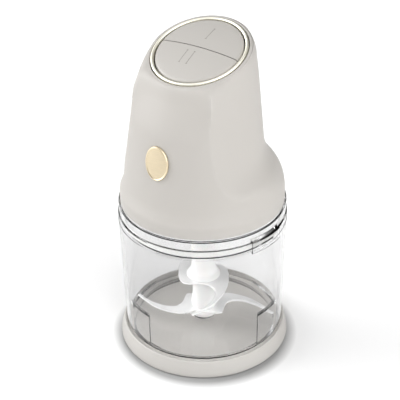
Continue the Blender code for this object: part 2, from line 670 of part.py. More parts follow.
def build_button(name, panel, side, marks):
    """Half-round domed button with a stem, its mark cut in as short bars."""
    profile = [(0.0, BUTTON_LOW), (BUTTON_R - 0.3, BUTTON_LOW), (BUTTON_R, BUTTON_RIM - 1.5),
               (BUTTON_R - 0.3, BUTTON_RIM - 0.6), (BUTTON_R - 1.2, BUTTON_RIM + 0.1)]
    for radius in (26.0, 19.0, 10.0, 0.0):
        profile.append((radius, BUTTON_RIM + BUTTON_DOME * (1.0 - (radius / BUTTON_R) ** 2)))
    bm = spin_profile(profile, MEDIUM, 90.0 if side > 0 else -90.0, 180.0)
    bmesh.ops.translate(bm, verts=bm.verts, vec=(0.0, side * BUTTON_SPLIT, 0.0))
    button = add_object(name, bm, "cream_satin")
    stem = bmesh.new()
    bmesh.ops.create_cone(stem, cap_ends=True, segments=SMALL, radius1=STEM_R, radius2=STEM_R,
                          depth=BUTTON_LOW + 1.0 - STEM_LOW)
    bmesh.ops.translate(stem, verts=stem.verts,
                        vec=(0.0, side * STEM_OFFSET, (BUTTON_LOW + 1.0 + STEM_LOW) / 2.0))
    combine(button, stem, "UNION")
    grooves = bmesh.new()
    for x, y in marks:
        box((x, y, BUTTON_DOME), (MARK_WIDTH, MARK_LENGTH, BUTTON_DOME), grooves)
    combine(button, grooves, "DIFFERENCE")
    button.parent = panel


# ---------------------------------------------------------------- gearbox


def gear_outline(teeth, outward, inward, play, phase):
    """Involute tooth outline; outward and inward are measured from the pitch circle."""
    pitch_r = MODULE * teeth / 2.0
    base_r = pitch_r * math.cos(PRESSURE_ANGLE)
    half = math.pi / (2.0 * teeth) - play / (2.0 * pitch_r)
    spread = math.tan(PRESSURE_ANGLE) - PRESSURE_ANGLE
    flank = []
    for radius in (pitch_r - inward, pitch_r, pitch_r + outward):
        angle = math.acos(base_r / max(radius, base_r))
        flank.append((radius, half + spread - (math.tan(angle) - angle)))
    points = []
    for k in range(teeth):
        centre = math.radians(phase) + 2.0 * math.pi * k / teeth
        for radius, offset in flank:
            points.append((radius * math.cos(centre - offset), radius * math.sin(centre - offset)))
        for radius, offset in reversed(flank):
            points.append((radius * math.cos(centre + offset), radius * math.sin(centre + offset)))
    return points


def build_gearbox():
    """Chassis with its ring gear, the planet carrier and the gears that turn in it."""
    chassis = [(8.3, 124.5), (57.4, 124.5), (57.4, 127.0), (28.6, 127.0), (28.6, 146.0),
               (26.6, 146.0), (26.6, 130.4), (22.0, 130.4), (22.0, 127.0), (8.3, 127.0)]
    frame = add_object("gearbox_case", spin_profile(chassis, GEARBOX_STEPS), "grey_plastic")
    sockets = bmesh.new()
    for bearing in SCREW_BEARINGS:
        x, y, _ = bearing_point(SCREW_PITCH_R, bearing)
        post = flat_plate([circle(3.6, 12, (x, y))], 126.0, 134.0)
        mesh = bpy.data.meshes.new("post")
        post.to_mesh(mesh)
        post.free()
        sockets.from_mesh(mesh)
        bpy.data.meshes.remove(mesh)
    combine(frame, sockets, "UNION")
    drills = bmesh.new()
    for bearing in SCREW_BEARINGS:
        x, y, _ = bearing_point(SCREW_PITCH_R, bearing)
        flat_plate([circle(SCREW_R + GAP, 12, (x, y))], 123.0, 132.0, drills)
    combine(frame, drills, "DIFFERENCE")

    void = gear_outline(RING_TEETH, 1.5, 1.0, -BACKLASH, 5.0)
    add_object("ring_gear", flat_plate([circle(26.0, ROUND), void], 130.8, 145.0), "nylon",
               smooth_angle=20.0)
    bush = [(4.15, 124.6), (8.0, 124.6), (8.0, 127.2), (4.15, 127.2)]
    add_object("output_bush", spin_profile(bush, MEDIUM), "bronze")

    carrier = [(0.0, 113.6), (4.0, 113.6), (4.0, 127.5), (9.0, 127.5), (9.0, 127.6), (20.0, 127.6),
               (20.6, 128.0), (20.6, 130.2), (20.0, 130.6), (0.0, 130.6)]
    plate = add_object("planet_carrier", spin_profile(carrier, MEDIUM), "steel")
    pins = bmesh.new()
    orbit = MODULE * (SUN_TEETH + PLANET_TEETH) / 2.0
    for bearing in PLANET_BEARINGS:
        x, y, _ = bearing_point(orbit, bearing)
        flat_plate([circle(2.0, 12, (x, y))], 130.0, 143.0, pins)
    combine(plate, pins, "UNION")
    collar = [(4.3, 117.2), (7.4, 117.2), (7.4, 119.8), (7.0, 120.2), (4.3, 120.2)]
    claw = add_object("drive_coupler", spin_profile(collar, MEDIUM), "grey_plastic")
    lobe = [(4.3, 111.6), (7.6, 111.6), (7.6, 118.0), (4.3, 118.0)]
    lobes = bmesh.new()
    for bearing in (90.0, 270.0):
        spin_profile(lobe, 3, bearing - 18.0, 36.0, lobes)
    combine(claw, lobes, "UNION")

    sun = gear_outline(SUN_TEETH, 1.1, 1.5, BACKLASH, 0.0)
    add_object("sun_gear", flat_plate([sun, circle(SHAFT_R + GAP, 12)], GEAR_LOW_Z, GEAR_HIGH_Z),
               "steel", smooth_angle=20.0)
    for i, bearing in enumerate(PLANET_BEARINGS):
        phase = bearing - 90.0 + 180.0 / PLANET_TEETH
        planet = gear_outline(PLANET_TEETH, 1.1, 1.5, BACKLASH, phase)
        body = flat_plate([planet, circle(2.3, 12)], GEAR_LOW_Z, GEAR_HIGH_Z)
        add_object("planet_gear_%d" % (i + 1), body, "nylon",
                   location=bearing_point(orbit, bearing, 0.0), smooth_angle=20.0)


# ---------------------------------------------------------------- motor


def build_motor():
    """Brushed motor: bracket, can, magnets, armature, fan, brushes and bearings."""
    bracket = [(8.3, MOTOR_Z), (30.0, MOTOR_Z), (30.0, 168.0), (28.0, 168.0),
               (28.0, MOTOR_Z + 2.6), (10.6, MOTOR_Z + 2.6), (10.6, 154.0), (8.3, 154.0)]
    add_object("motor_bracket", spin_profile(bracket, MEDIUM), "grey_plastic")
    can = [(26.5, CAN_LOW_Z), (CAN_R, CAN_LOW_Z), (CAN_R, CAN_HIGH_Z), (26.5, CAN_HIGH_Z)]
    add_object("motor_can", spin_profile(can, MEDIUM), "steel")
    magnet = [(18.9, 168.0), (26.1, 168.0), (26.1, 198.0), (18.9, 198.0)]
    for i, bearing in enumerate((0.0, 180.0)):
        add_object("field_magnet_%d" % (i + 1), spin_profile(magnet, 16, bearing - 70.0, 140.0),
                   "ferrite")
    cap = [(8.3, CAN_HIGH_Z + GAP), (CAN_R, CAN_HIGH_Z + GAP), (CAN_R, 211.8), (10.6, 211.8),
           (10.6, 215.0), (8.3, 215.0)]
    add_object("motor_end_cap", spin_profile(cap, MEDIUM), "grey_plastic")
    for name, low in (("bearing_lower", 147.6), ("bearing_upper", 209.6)):
        ball = [(SHAFT_R + 0.1, low), (8.0, low), (8.0, low + 5.0), (SHAFT_R + 0.1, low + 5.0)]
        add_object(name, spin_profile(ball, MEDIUM), "steel")

    shaft = [(0.0, 130.9), (SHAFT_R, 130.9), (SHAFT_R, 215.6), (0.0, 216.0)]
    add_object("motor_shaft", spin_profile(shaft, SMALL), "steel")
    core = []
    slots = 10
    for k in range(slots):
        centre = 2.0 * math.pi * k / slots
        for radius, offset in ((9.0, 0.1), (15.6, 0.06), (16.0, 0.26), (18.2, 0.26)):
            core.append((radius * math.cos(centre - offset), radius * math.sin(centre - offset)))
        for radius, offset in ((18.2, 0.26), (16.0, 0.26), (15.6, 0.06), (9.0, 0.1)):
            core.append((radius * math.cos(centre + offset), radius * math.sin(centre + offset)))
    body = flat_plate([core, circle(SHAFT_R + GAP, 12)], 172.0, 194.0)
    add_object("armature_core", body, "lamination", smooth_angle=20.0)
    for name, low, high in (("winding_lower", 166.6, 171.7), ("winding_upper", 194.3, 199.6)):
        coil = [(SHAFT_R + GAP, low + 1.0), (6.0, low), (14.0, low + 0.8), (16.6, low + 2.6),
                (16.0, high), (SHAFT_R + GAP, high)]
        add_object(name, spin_profile(coil, 24), "copper")
    commutator = [(SHAFT_R + GAP, 200.0), (8.4, 200.0), (8.4, 200.8), (7.0, 200.8), (7.0, 207.4),
                  (SHAFT_R + GAP, 207.4)]
    add_object("commutator", spin_profile(commutator, 24), "copper")
    hub = [(SHAFT_R + GAP, 156.0), (6.0, 156.0), (22.6, 156.0), (22.6, 157.2), (6.0, 157.2),
           (6.0, 163.0), (SHAFT_R + GAP, 163.0)]
    fan = add_object("cooling_fan", spin_profile(hub, 24), "black_plastic")
    blades = bmesh.new()
    for k in range(8):
        blade = box((13.6, 0.0, 159.9), (16.4, 1.0, 6.0))
        mesh = bpy.data.meshes.new("blade")
        bmesh.ops.rotate(blade, verts=blade.verts, cent=(0, 0, 0),
                         matrix=Matrix.Rotation(math.radians(45.0 * k), 3, "Z"))
        blade.to_mesh(mesh)
        blade.free()
        blades.from_mesh(mesh)
        bpy.data.meshes.remove(mesh)
    combine(fan, blades, "UNION")
    for i, side in enumerate((1.0, -1.0)):
        brush = box((side * 12.2, 0.0, 204.2), (9.4, 4.4, 4.4))
        add_object("carbon_brush_%d" % (i + 1), brush, "carbon")
        holder = bmesh.new()
        centre = (side * 18.0, 0.0, 204.2)
        box(centre, (14.0, 7.4, 7.4), holder)
        body = add_object("brush_holder_%d" % (i + 1), holder, "bronze")
        combine(body, box((side * 14.0, 0.0, 204.2), (14.0, 5.0, 5.0)), "DIFFERENCE")


def build_control_board():
    """Small circuit board standing behind the motor."""
    add_object("control_board", box((0.0, 34.2, 180.0), (28.0, 1.6, 38.0)), "board_green")


def main():
    clear_scene()
    build_base()
    build_bowl()
    build_blades()
    build_lid()
    build_housing()
    build_gland()
    build_badge()
    build_bottom_cover()
    build_panel()
    build_gearbox()
    build_motor()
    build_control_board()


main()
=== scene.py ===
"""Looks of a one-touch mini food chopper, dressed over its packed assembly.

Lengths in the classes of pieces are millimetres, and those in finishes and the studio metres.
Bearings are degrees round the spindle axis from the front (-Y) towards +X. The control panel
has its own frame, tilted towards the front. WELD is the distance, in millimetres, within which
points merge. SHARP and SHARP_CLEAR are the turns, in degrees, past which an edge of an opaque
and of a clear piece stays sharp.
"""

import json
import logging
import math
from dataclasses import dataclass
from enum import Enum
from typing import Callable, Dict, List, Optional, Sequence, Tuple

import bmesh
import bpy
from mathutils import Matrix, Vector


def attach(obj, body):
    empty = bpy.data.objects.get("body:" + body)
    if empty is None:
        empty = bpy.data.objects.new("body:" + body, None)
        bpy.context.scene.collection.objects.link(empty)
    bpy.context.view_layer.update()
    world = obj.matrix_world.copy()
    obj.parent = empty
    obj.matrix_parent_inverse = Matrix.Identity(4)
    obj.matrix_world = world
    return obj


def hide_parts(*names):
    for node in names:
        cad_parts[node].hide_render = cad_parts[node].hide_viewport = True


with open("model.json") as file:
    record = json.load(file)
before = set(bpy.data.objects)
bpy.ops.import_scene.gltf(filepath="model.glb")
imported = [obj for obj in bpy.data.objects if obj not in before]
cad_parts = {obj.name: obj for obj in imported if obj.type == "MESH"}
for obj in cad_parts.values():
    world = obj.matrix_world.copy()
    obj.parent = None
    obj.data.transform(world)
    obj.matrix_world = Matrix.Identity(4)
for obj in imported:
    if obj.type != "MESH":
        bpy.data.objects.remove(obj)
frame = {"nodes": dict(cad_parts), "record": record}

MM = 0.001
WELD = 0.0005
SHARP = 40.0
SHARP_CLEAR = 12.0
LOG = logging.getLogger("chopper")

Pair = Tuple[float, float]
Point = Tuple[float, float, float]
Colour = Tuple[float, float, float]
Mesh = bmesh.types.BMesh
Socket = bpy.types.NodeSocket


class Body(Enum):
    """Rigid bodies of the assembly that pieces ride on."""

    BASE = "base"
    BOWL = "bowl"
    BLADES = "blades"
    LID = "lid"
    HEAD = "head"
    LOW = "button_low"
    HIGH = "button_high"


# ---------------------------------------------------------------- node wiring


class Graph:
    """A node tree being wired, with short calls for the nodes this file uses."""

    def __init__(self, tree: bpy.types.NodeTree) -> None:
        """Take the tree to wire."""
        self.tree = tree

    def node(self, kind: str, **settings: object) -> bpy.types.Node:
        """Add a node.

        Args:
            kind: Blender's node type name.
            **settings: attributes to set on the node.

        Returns:
            The new node.
        """
        made = self.tree.nodes.new(kind)
        for name, value in settings.items():
            setattr(made, name, value)
        return made

    def feed(self, value: object, into: Socket) -> None:
        """Link a socket, or write a constant, into an input.

        Args:
            value: an output socket, a number or a tuple.
            into: the input that receives it.
        """
        if isinstance(value, bpy.types.NodeSocket):
            self.tree.links.new(value, into)
        elif value is not None:
            into.default_value = value

    def math(self, operation: str, first: object, second: object = None,
             clamp: bool = False) -> Socket:
        """Add a Math node.

        Args:
            operation: Blender's operation name.
            first: first value or socket.
            second: second value or socket, if the operation has one.
            clamp: True to keep the result within 0 and 1.

        Returns:
            The result's socket.
        """
        made = self.node("ShaderNodeMath", operation=operation, use_clamp=clamp)
        self.feed(first, made.inputs[0])
        self.feed(second, made.inputs[1])
        return made.outputs[0]

    def mix(self, factor: object, first: object, second: object,
            blend: str = "MIX") -> Socket:
        """Mix two colours.

        Args:
            factor: share of the second colour.
            first: first colour or socket.
            second: second colour or socket.
            blend: Blender's blend type.

        Returns:
            The mixed colour's socket.
        """
        made = self.node("ShaderNodeMix", data_type="RGBA", blend_type=blend)
        self.feed(factor, made.inputs[0])
        self.feed(first, made.inputs[6])
        self.feed(second, made.inputs[7])
        return made.outputs[2]

    def noise(self, vector: Socket, scale: object, detail: float = 3.0,
              roughness: float = 0.55) -> Socket:
        """Add a Noise texture and return its value.

        Args:
            vector: where it is read.
            scale: its scale.
            detail: octaves.
            roughness: how much the finer octaves count.

        Returns:
            The noise value's socket.
        """
        made = self.node("ShaderNodeTexNoise", noise_dimensions="3D")
        self.feed(vector, made.inputs["Vector"])
        self.feed(scale, made.inputs["Scale"])
        made.inputs["Detail"].default_value = detail
        made.inputs["Roughness"].default_value = roughness
        return made.outputs["Fac"]

    def vector(self, operation: str, first: object, second: object = None) -> bpy.types.Node:
        """Add a Vector Math node.

        Args:
            operation: Blender's operation name.
            first: first vector or socket.
            second: second vector or socket, if the operation has one.

        Returns:
            The new node.
        """
        made = self.node("ShaderNodeVectorMath", operation=operation)
        self.feed(first, made.inputs[0])
        self.feed(second, made.inputs[1])
        return made

    def split(self, vector: Socket) -> Tuple[Socket, Socket, Socket]:
        """Split a vector.

        Args:
            vector: the vector to split.

        Returns:
            The sockets of its X, Y and Z.
        """
        made = self.node("ShaderNodeSeparateXYZ")
        self.feed(vector, made.inputs[0])
        return made.outputs["X"], made.outputs["Y"], made.outputs["Z"]

    def grey(self, tone: Socket) -> Socket:
        """Make a grey from one value.

        Args:
            tone: the value of its three channels.

        Returns:
            The grey's socket.
        """
        made = self.node("ShaderNodeCombineColor")
        for channel in range(3):
            self.feed(tone, made.inputs[channel])
        return made.outputs[0]

    def remap(self, value: Socket, low: float, high: float, to_low: object,
              to_high: object) -> Socket:
        """Map a value from one range to another, clamped.

        Args:
            value: the value to map.
            low: its low end.
            high: its high end.
            to_low: result at the low end.
            to_high: result at the high end.

        Returns:
            The mapped value's socket.
        """
        made = self.node("ShaderNodeMapRange", clamp=True)
        self.feed(value, made.inputs[0])
        self.feed(low, made.inputs[1])
        self.feed(high, made.inputs[2])
        self.feed(to_low, made.inputs[3])
        self.feed(to_high, made.inputs[4])
        return made.outputs[0]

    def place(self) -> Socket:
        """Object coordinates."""
        return self.node("ShaderNodeTexCoord").outputs["Object"]


class Effect:
    """A shared surface effect, kept as one node group with named sockets."""

    title = "effect"
    inputs: Sequence[Tuple[str, float]] = ()
    outputs: Sequence[str] = ()

    @classmethod
    def group(cls) -> bpy.types.NodeTree:
        """Give the effect's node group, built on first use."""
        found = bpy.data.node_groups.get(cls.title)
        if found is not None:
            return found
        tree = bpy.data.node_groups.new(cls.title, "ShaderNodeTree")
        for name, value in cls.inputs:
            socket = tree.interface.new_socket(name=name, in_out="INPUT",
                                               socket_type="NodeSocketFloat")
            socket.default_value = value
        for name in cls.outputs:
            tree.interface.new_socket(name=name, in_out="OUTPUT", socket_type="NodeSocketFloat")
        graph = Graph(tree)
        given = graph.node("NodeGroupInput")
        result = graph.node("NodeGroupOutput")
        made = cls.wire(graph, given)
        for name, socket in made.items():
            graph.feed(socket, result.inputs[name])
        return tree

    @classmethod
    def wire(cls, graph: Graph, given: bpy.types.Node) -> Dict[str, Socket]:
        """Wire the group.

        Args:
            graph: the group's tree.
            given: its input node.

        Returns:
            Output name to socket.
        """
        raise NotImplementedError

    @classmethod
    def place(cls, graph: Graph, **values: float) -> bpy.types.Node:
        """Put the effect into a material with its own values.

        Args:
            graph: the material's tree.
            **values: input values, an underscore standing for a space.

        Returns:
            The group node.
        """
        made = graph.node("ShaderNodeGroup")
        made.node_tree = cls.group()
        for name, value in values.items():
            made.inputs[name.replace("_", " ")].default_value = value
        return made


class MouldedGrain(Effect):
    """Fine spark-eroded texture and soft flow mottling of moulded plastic."""

    title = "moulded_grain"
    inputs = (("Grain Scale", 2600.0), ("Mottle Scale", 22.0), ("Mottle", 0.02))
    outputs = ("Height", "Tone", "Roughness Shift")

    @classmethod
    def wire(cls, graph: Graph, given: bpy.types.Node) -> Dict[str, Socket]:
        """Wire the grain: see Effect.wire."""
        where = graph.place()
        grain = graph.noise(where, given.outputs["Grain Scale"], 2.0, 0.6)
        mottle = graph.noise(where, given.outputs["Mottle Scale"], 4.0, 0.6)
        centred = graph.math("SUBTRACT", mottle, 0.5)
        swing = graph.math("MULTIPLY", centred, given.outputs["Mottle"])
        tone = graph.math("ADD", swing, 1.0)
        shift = graph.math("MULTIPLY", centred, 0.12)
        return {"Height": grain, "Tone": tone, "Roughness Shift": shift}


class RubbedEdges(Effect):
    """Mask of outer edges polished by handling, broken up by noise."""

    title = "rubbed_edges"
    inputs = (("Reach", 0.06), ("Break Up", 140.0))
    outputs = ("Mask", )

    @classmethod
    def wire(cls, graph: Graph, given: bpy.types.Node) -> Dict[str, Socket]:
        """Wire the mask: see Effect.wire."""
        sharp = graph.node("ShaderNodeNewGeometry").outputs["Pointiness"]
        limit = graph.math("ADD", given.outputs["Reach"], 0.5)
        edge = graph.remap(sharp, 0.505, limit, 0.0, 1.0)
        broken = graph.noise(graph.place(), given.outputs["Break Up"], 3.0)
        cut = graph.remap(broken, 0.35, 0.65, 0.25, 1.0)
        return {"Mask": graph.math("MULTIPLY", edge, cut, True)}


class SettledDust(Effect):
    """Mask of faint dust on faces that look up, in soft patches."""

    title = "settled_dust"
    inputs = (("Patch Scale", 34.0), ("Amount", 0.2))
    outputs = ("Mask", )

    @classmethod
    def wire(cls, graph: Graph, given: bpy.types.Node) -> Dict[str, Socket]:
        """Wire the mask: see Effect.wire."""
        normal = graph.node("ShaderNodeNewGeometry").outputs["Normal"]
        upward = graph.remap(graph.split(normal)[2], 0.35, 1.0, 0.0, 1.0)
        where = graph.place()
        patch = graph.remap(graph.noise(where, given.outputs["Patch Scale"], 5.0, 0.65),
                            0.4, 0.7, 0.0, 1.0)
        both = graph.math("MULTIPLY", upward, patch)
        return {"Mask": graph.math("MULTIPLY", both, given.outputs["Amount"], True)}


class TurnedLines(Effect):
    """Fine concentric tool lines round the spindle axis."""

    title = "turned_lines"
    inputs = (("Pitch", 2600.0), ("Wander", 0.3))
    outputs = ("Height", "Tone")

    @classmethod
    def wire(cls, graph: Graph, given: bpy.types.Node) -> Dict[str, Socket]:
        """Wire the lines: see Effect.wire."""
        x, y, z = graph.split(graph.place())
        squared = graph.math("ADD", graph.math("POWER", x, 2.0), graph.math("POWER", y, 2.0))
        radius = graph.math("SQRT", squared)
        line = graph.node("ShaderNodeCombineXYZ")
        graph.feed(radius, line.inputs["X"])
        graph.feed(z, line.inputs["Y"])
        lines = graph.noise(line.outputs[0], given.outputs["Pitch"], 2.0, 0.7)
        slow = graph.noise(graph.place(), 40.0, 2.0)
        varied = graph.math("MULTIPLY", graph.math("SUBTRACT", slow, 0.5),
                            given.outputs["Wander"])
        tone = graph.math("ADD", varied, 1.0)
        return {"Height": lines, "Tone": tone}


class GroundLines(Effect):
    """Straight grinding marks that run along X."""

    title = "ground_lines"
    inputs = (("Across", 2400.0), ("Along", 60.0))
    outputs = ("Height", "Tone")

    @classmethod
    def wire(cls, graph: Graph, given: bpy.types.Node) -> Dict[str, Socket]:
        """Wire the marks: see Effect.wire."""
        joined = graph.node("ShaderNodeCombineXYZ")
        scales = ("Along", "Across", "Across")
        for axis, (part, scale) in enumerate(zip(graph.split(graph.place()), scales)):
            graph.feed(graph.math("MULTIPLY", part, given.outputs[scale]), joined.inputs[axis])
        marks = graph.noise(joined.outputs[0], 1.0, 3.0, 0.7)
        tone = graph.remap(marks, 0.2, 0.8, 0.88, 1.08)
        return {"Height": marks, "Tone": tone}


# ---------------------------------------------------------------- finishes


@dataclass(frozen=True)
class Finish:
    """Common part of every finish: its name and its base look."""

    name: str
    colour: Colour
    roughness: float = 0.4

    def material(self) -> bpy.types.Material:
        """Give the finish's material, built on first use."""
        found = bpy.data.materials.get(self.name)
        if found is not None:
            return found
        made = bpy.data.materials.new(self.name)
        made.use_nodes = True
        graph = Graph(made.node_tree)
        shader = made.node_tree.nodes["Principled BSDF"]
        self.wire(graph, shader)
        return made

    def wire(self, graph: Graph, shader: bpy.types.Node) -> None:
        """Wire the material.

        Args:
            graph: the material's tree.
            shader: its Principled BSDF node.
        """
        raise NotImplementedError

    def shade(self, gain: float = 1.0, lift: float = 0.0) -> Tuple[float, ...]:
        """Give an opaque shade of the finish's colour.

        Args:
            gain: factor on each channel.
            lift: what is added to each channel after it.

        Returns:
            The shade, no channel over 1.
        """
        return (*(min(1.0, channel * gain + lift) for channel in self.colour), 1.0)

    def roughen(self, graph: Graph, shader: bpy.types.Node, shift: Socket) -> None:
        """Set the roughness to the finish's own plus a shift.

        Args:
            graph: the material's tree.
            shader: its Principled BSDF node.
            shift: what is added over the surface.
        """
        graph.feed(graph.math("ADD", shift, self.roughness, True), shader.inputs["Roughness"])

    def bump(self, graph: Graph, shader: bpy.types.Node, height: Socket, depth: float) -> None:
        """Raise the surface by a height.

        Args:
            graph: the material's tree.
            shader: its Principled BSDF node.
            height: height from 0 to 1.
            depth: what a height of 1 stands for, in metres.
        """
        made = graph.node("ShaderNodeBump")
        made.inputs["Strength"].default_value = 1.0
        made.inputs["Distance"].default_value = depth
        graph.feed(height, made.inputs["Height"])
        graph.feed(made.outputs[0], shader.inputs["Normal"])

    def toned(self, graph: Graph, tone: Socket, colour: object) -> Socket:
        """Multiply a colour by a tone.

        Args:
            graph: the material's tree.
            tone: the multiplier.
            colour: colour or socket.

        Returns:
            The toned colour's socket.
        """
        return graph.mix(1.0, colour, graph.grey(tone), "MULTIPLY")


@dataclass(frozen=True)
class MouldedPlastic(Finish):
    """Opaque moulded plastic with grain, mottling, rubbed edges, a little dust and, where set,
    painted light inside a radius.
    """

    grain_depth: float = 0.00002
    mottle: float = 0.03
    edge_light: float = 0.1
    dust: float = 0.12
    subsurface: float = 0.0
    shine: float = 0.5
    # painted light: within this radius the colour is raised by this gain
    painted_light_r: float = 0.0
    painted_light_gain: float = 1.0

    def paint_light_inside(self, graph: Graph, colour: Socket) -> Socket:
        """Paint light into the colour inside a radius round the axis, so the inside reads lighter
        than the outside of the same plastic.

        Args:
            graph: the material's tree.
            colour: the colour to lighten.

        Returns:
            The colour's socket.
        """
        flat = graph.vector("MULTIPLY", graph.place(), (1.0, 1.0, 0.0))
        away = graph.vector("LENGTH", flat.outputs["Vector"])
        inside = graph.math("LESS_THAN", away.outputs["Value"], self.painted_light_r)
        return self.toned(graph, graph.remap(inside, 0.0, 1.0, 1.0, self.painted_light_gain), colour)

    def wire(self, graph: Graph, shader: bpy.types.Node) -> None:
        """Wire the plastic: see Finish.wire."""
        grain = MouldedGrain.place(graph, Mottle=self.mottle)
        edges = RubbedEdges.place(graph)
        dust = SettledDust.place(graph, Amount=self.dust)
        worn = self.shade(1.0 - self.edge_light, self.edge_light)
        colour = self.toned(graph, grain.outputs["Tone"], self.shade())
        colour = graph.mix(edges.outputs["Mask"], colour, worn)
        colour = graph.mix(dust.outputs["Mask"], colour, self.shade(0.7, 0.2))
        # painted light on the inside of the dish
        if self.painted_light_r > 0.0:
            colour = self.paint_light_inside(graph, colour)
        graph.feed(colour, shader.inputs["Base Color"])
        rough = graph.math("ADD", grain.outputs["Roughness Shift"], self.roughness)
        rough = graph.math("SUBTRACT", rough,
                           graph.math("MULTIPLY", edges.outputs["Mask"], 0.08))
        rough = graph.math("ADD", rough, graph.math("MULTIPLY", dust.outputs["Mask"], 0.3), True)
        graph.feed(rough, shader.inputs["Roughness"])
        shader.inputs["IOR"].default_value = 1.5
        shader.inputs["Specular IOR Level"].default_value = self.shine
        shader.inputs["Subsurface Weight"].default_value = self.subsurface
        shader.inputs["Subsurface Scale"].default_value = 0.002
        self.bump(graph, shader, grain.outputs["Height"], self.grain_depth)


@dataclass(frozen=True)
class ClearPlastic(Finish):
    """Polished plastic, clear as water, that casts only a faint shadow."""

    shadow_tint: float = 0.95
    ior: float = 1.49

    def wire(self, graph: Graph, shader: bpy.types.Node) -> None:
        """Wire the clear plastic: see Finish.wire."""
        grain = MouldedGrain.place(graph, Grain_Scale=900.0, Mottle=0.02)
        film = graph.remap(graph.noise(graph.place(), 26.0, 5.0, 0.65), 0.5, 0.8, 0.0, 0.05)
        colour = self.toned(graph, grain.outputs["Tone"], self.shade())
        graph.feed(colour, shader.inputs["Base Color"])
        graph.feed(graph.math("ADD", film, self.roughness), shader.inputs["Roughness"])
        shader.inputs["Transmission Weight"].default_value = 1.0
        shader.inputs["IOR"].default_value = self.ior
        self.bump(graph, shader, graph.noise(graph.place(), 60.0, 2.0), 0.00004)
        tint = self.shadow_tint
        clear = graph.node("ShaderNodeBsdfTransparent")
        clear.inputs["Color"].default_value = (tint, tint, tint, 1.0)
        path = graph.node("ShaderNodeLightPath")
        mixed = graph.node("ShaderNodeMixShader")
        graph.feed(path.outputs["Is Shadow Ray"], mixed.inputs[0])
        graph.feed(shader.outputs[0], mixed.inputs[1])
        graph.feed(clear.outputs[0], mixed.inputs[2])
        out = graph.tree.nodes["Material Output"]
        graph.feed(mixed.outputs[0], out.inputs["Surface"])


@dataclass(frozen=True)
class TurnedMetal(Finish):
    """Metal with fine concentric tool lines and polished edges."""

    depth: float = 0.000004
    pitch: float = 2600.0
    wander: float = 0.16

    def wire(self, graph: Graph, shader: bpy.types.Node) -> None:
        """Wire the metal: see Finish.wire."""
        lines = TurnedLines.place(graph, Pitch=self.pitch, Wander=self.wander)
        edges = RubbedEdges.place(graph)
        colour = self.toned(graph, lines.outputs["Tone"], self.shade())
        colour = graph.mix(edges.outputs["Mask"], colour, self.shade(1.15))
        graph.feed(colour, shader.inputs["Base Color"])
        shader.inputs["Metallic"].default_value = 1.0
        swing = graph.remap(lines.outputs["Height"], 0.3, 0.7, -0.05, 0.05)
        self.roughen(graph, shader, swing)
        self.bump(graph, shader, lines.outputs["Height"], self.depth)


@dataclass(frozen=True)
class GroundSteel(Finish):
    """Sheet steel with straight grinding marks."""

    depth: float = 0.000006
    metal: float = 1.0

    def wire(self, graph: Graph, shader: bpy.types.Node) -> None:
        """Wire the steel: see Finish.wire."""
        marks = GroundLines.place(graph)
        edges = RubbedEdges.place(graph, Reach=0.05)
        colour = self.toned(graph, marks.outputs["Tone"], self.shade())
        colour = graph.mix(edges.outputs["Mask"], colour, self.shade(1.2))
        graph.feed(colour, shader.inputs["Base Color"])
        shader.inputs["Metallic"].default_value = self.metal
        swing = graph.remap(marks.outputs["Height"], 0.3, 0.7, -0.06, 0.08)
        self.roughen(graph, shader, swing)
        self.bump(graph, shader, marks.outputs["Height"], self.depth)


@dataclass(frozen=True)
class DustyRubber(Finish):
    """Matt rubber with a fine grain and dust in it."""

    def wire(self, graph: Graph, shader: bpy.types.Node) -> None:
        """Wire the rubber: see Finish.wire."""
        grain = MouldedGrain.place(graph, Grain_Scale=1800.0, Mottle_Scale=60.0, Mottle=0.2)
        dust = SettledDust.place(graph, Patch_Scale=90.0, Amount=0.35)
        colour = self.toned(graph, grain.outputs["Tone"], self.shade())
        colour = graph.mix(dust.outputs["Mask"], colour, self.shade(0.6, 0.12))
        graph.feed(colour, shader.inputs["Base Color"])
        self.roughen(graph, shader, grain.outputs["Roughness Shift"])
        self.bump(graph, shader, grain.outputs["Height"], 0.00004)


@dataclass(frozen=True)
class WoundCopper(Finish):
    """Enamelled copper wire in close turns, with painted shade in the grooves between them."""

    def wire(self, graph: Graph, shader: bpy.types.Node) -> None:
        """Wire the winding: see Finish.wire."""
        wave = graph.node("ShaderNodeTexWave", wave_type="RINGS", rings_direction="Z")
        graph.feed(graph.place(), wave.inputs["Vector"])
        wave.inputs["Scale"].default_value = 260.0
        wave.inputs["Distortion"].default_value = 1.2
        grain = MouldedGrain.place(graph, Grain_Scale=700.0, Mottle=0.3)
        colour = self.toned(graph, grain.outputs["Tone"], self.shade())
        # painted shade: the colour darkens to 45 % in the grooves between the turns
        colour = graph.mix(wave.outputs["Fac"], self.shade(0.45), colour)
        graph.feed(colour, shader.inputs["Base Color"])
        shader.inputs["Metallic"].default_value = 1.0
        graph.feed(graph.remap(wave.outputs["Fac"], 0.0, 1.0, self.roughness + 0.15,
                               self.roughness), shader.inputs["Roughness"])
        self.bump(graph, shader, wave.outputs["Fac"], 0.0002)


@dataclass(frozen=True)
class CircuitBoard(Finish):
    """Solder-masked board with copper tracks and pads showing through."""

    def wire(self, graph: Graph, shader: bpy.types.Node) -> None:
        """Wire the board: see Finish.wire."""
        brick = graph.node("ShaderNodeTexBrick")
        graph.feed(graph.place(), brick.inputs["Vector"])
        brick.inputs["Scale"].default_value = 180.0
        brick.inputs["Mortar Size"].default_value = 0.06
        track = graph.mix(brick.outputs["Fac"], self.shade(), self.shade(1.9, 0.02))
        graph.feed(track, shader.inputs["Base Color"])
        self.roughen(graph, shader, MouldedGrain.place(graph).outputs["Roughness Shift"])
        self.bump(graph, shader, brick.outputs["Fac"], 0.00006)


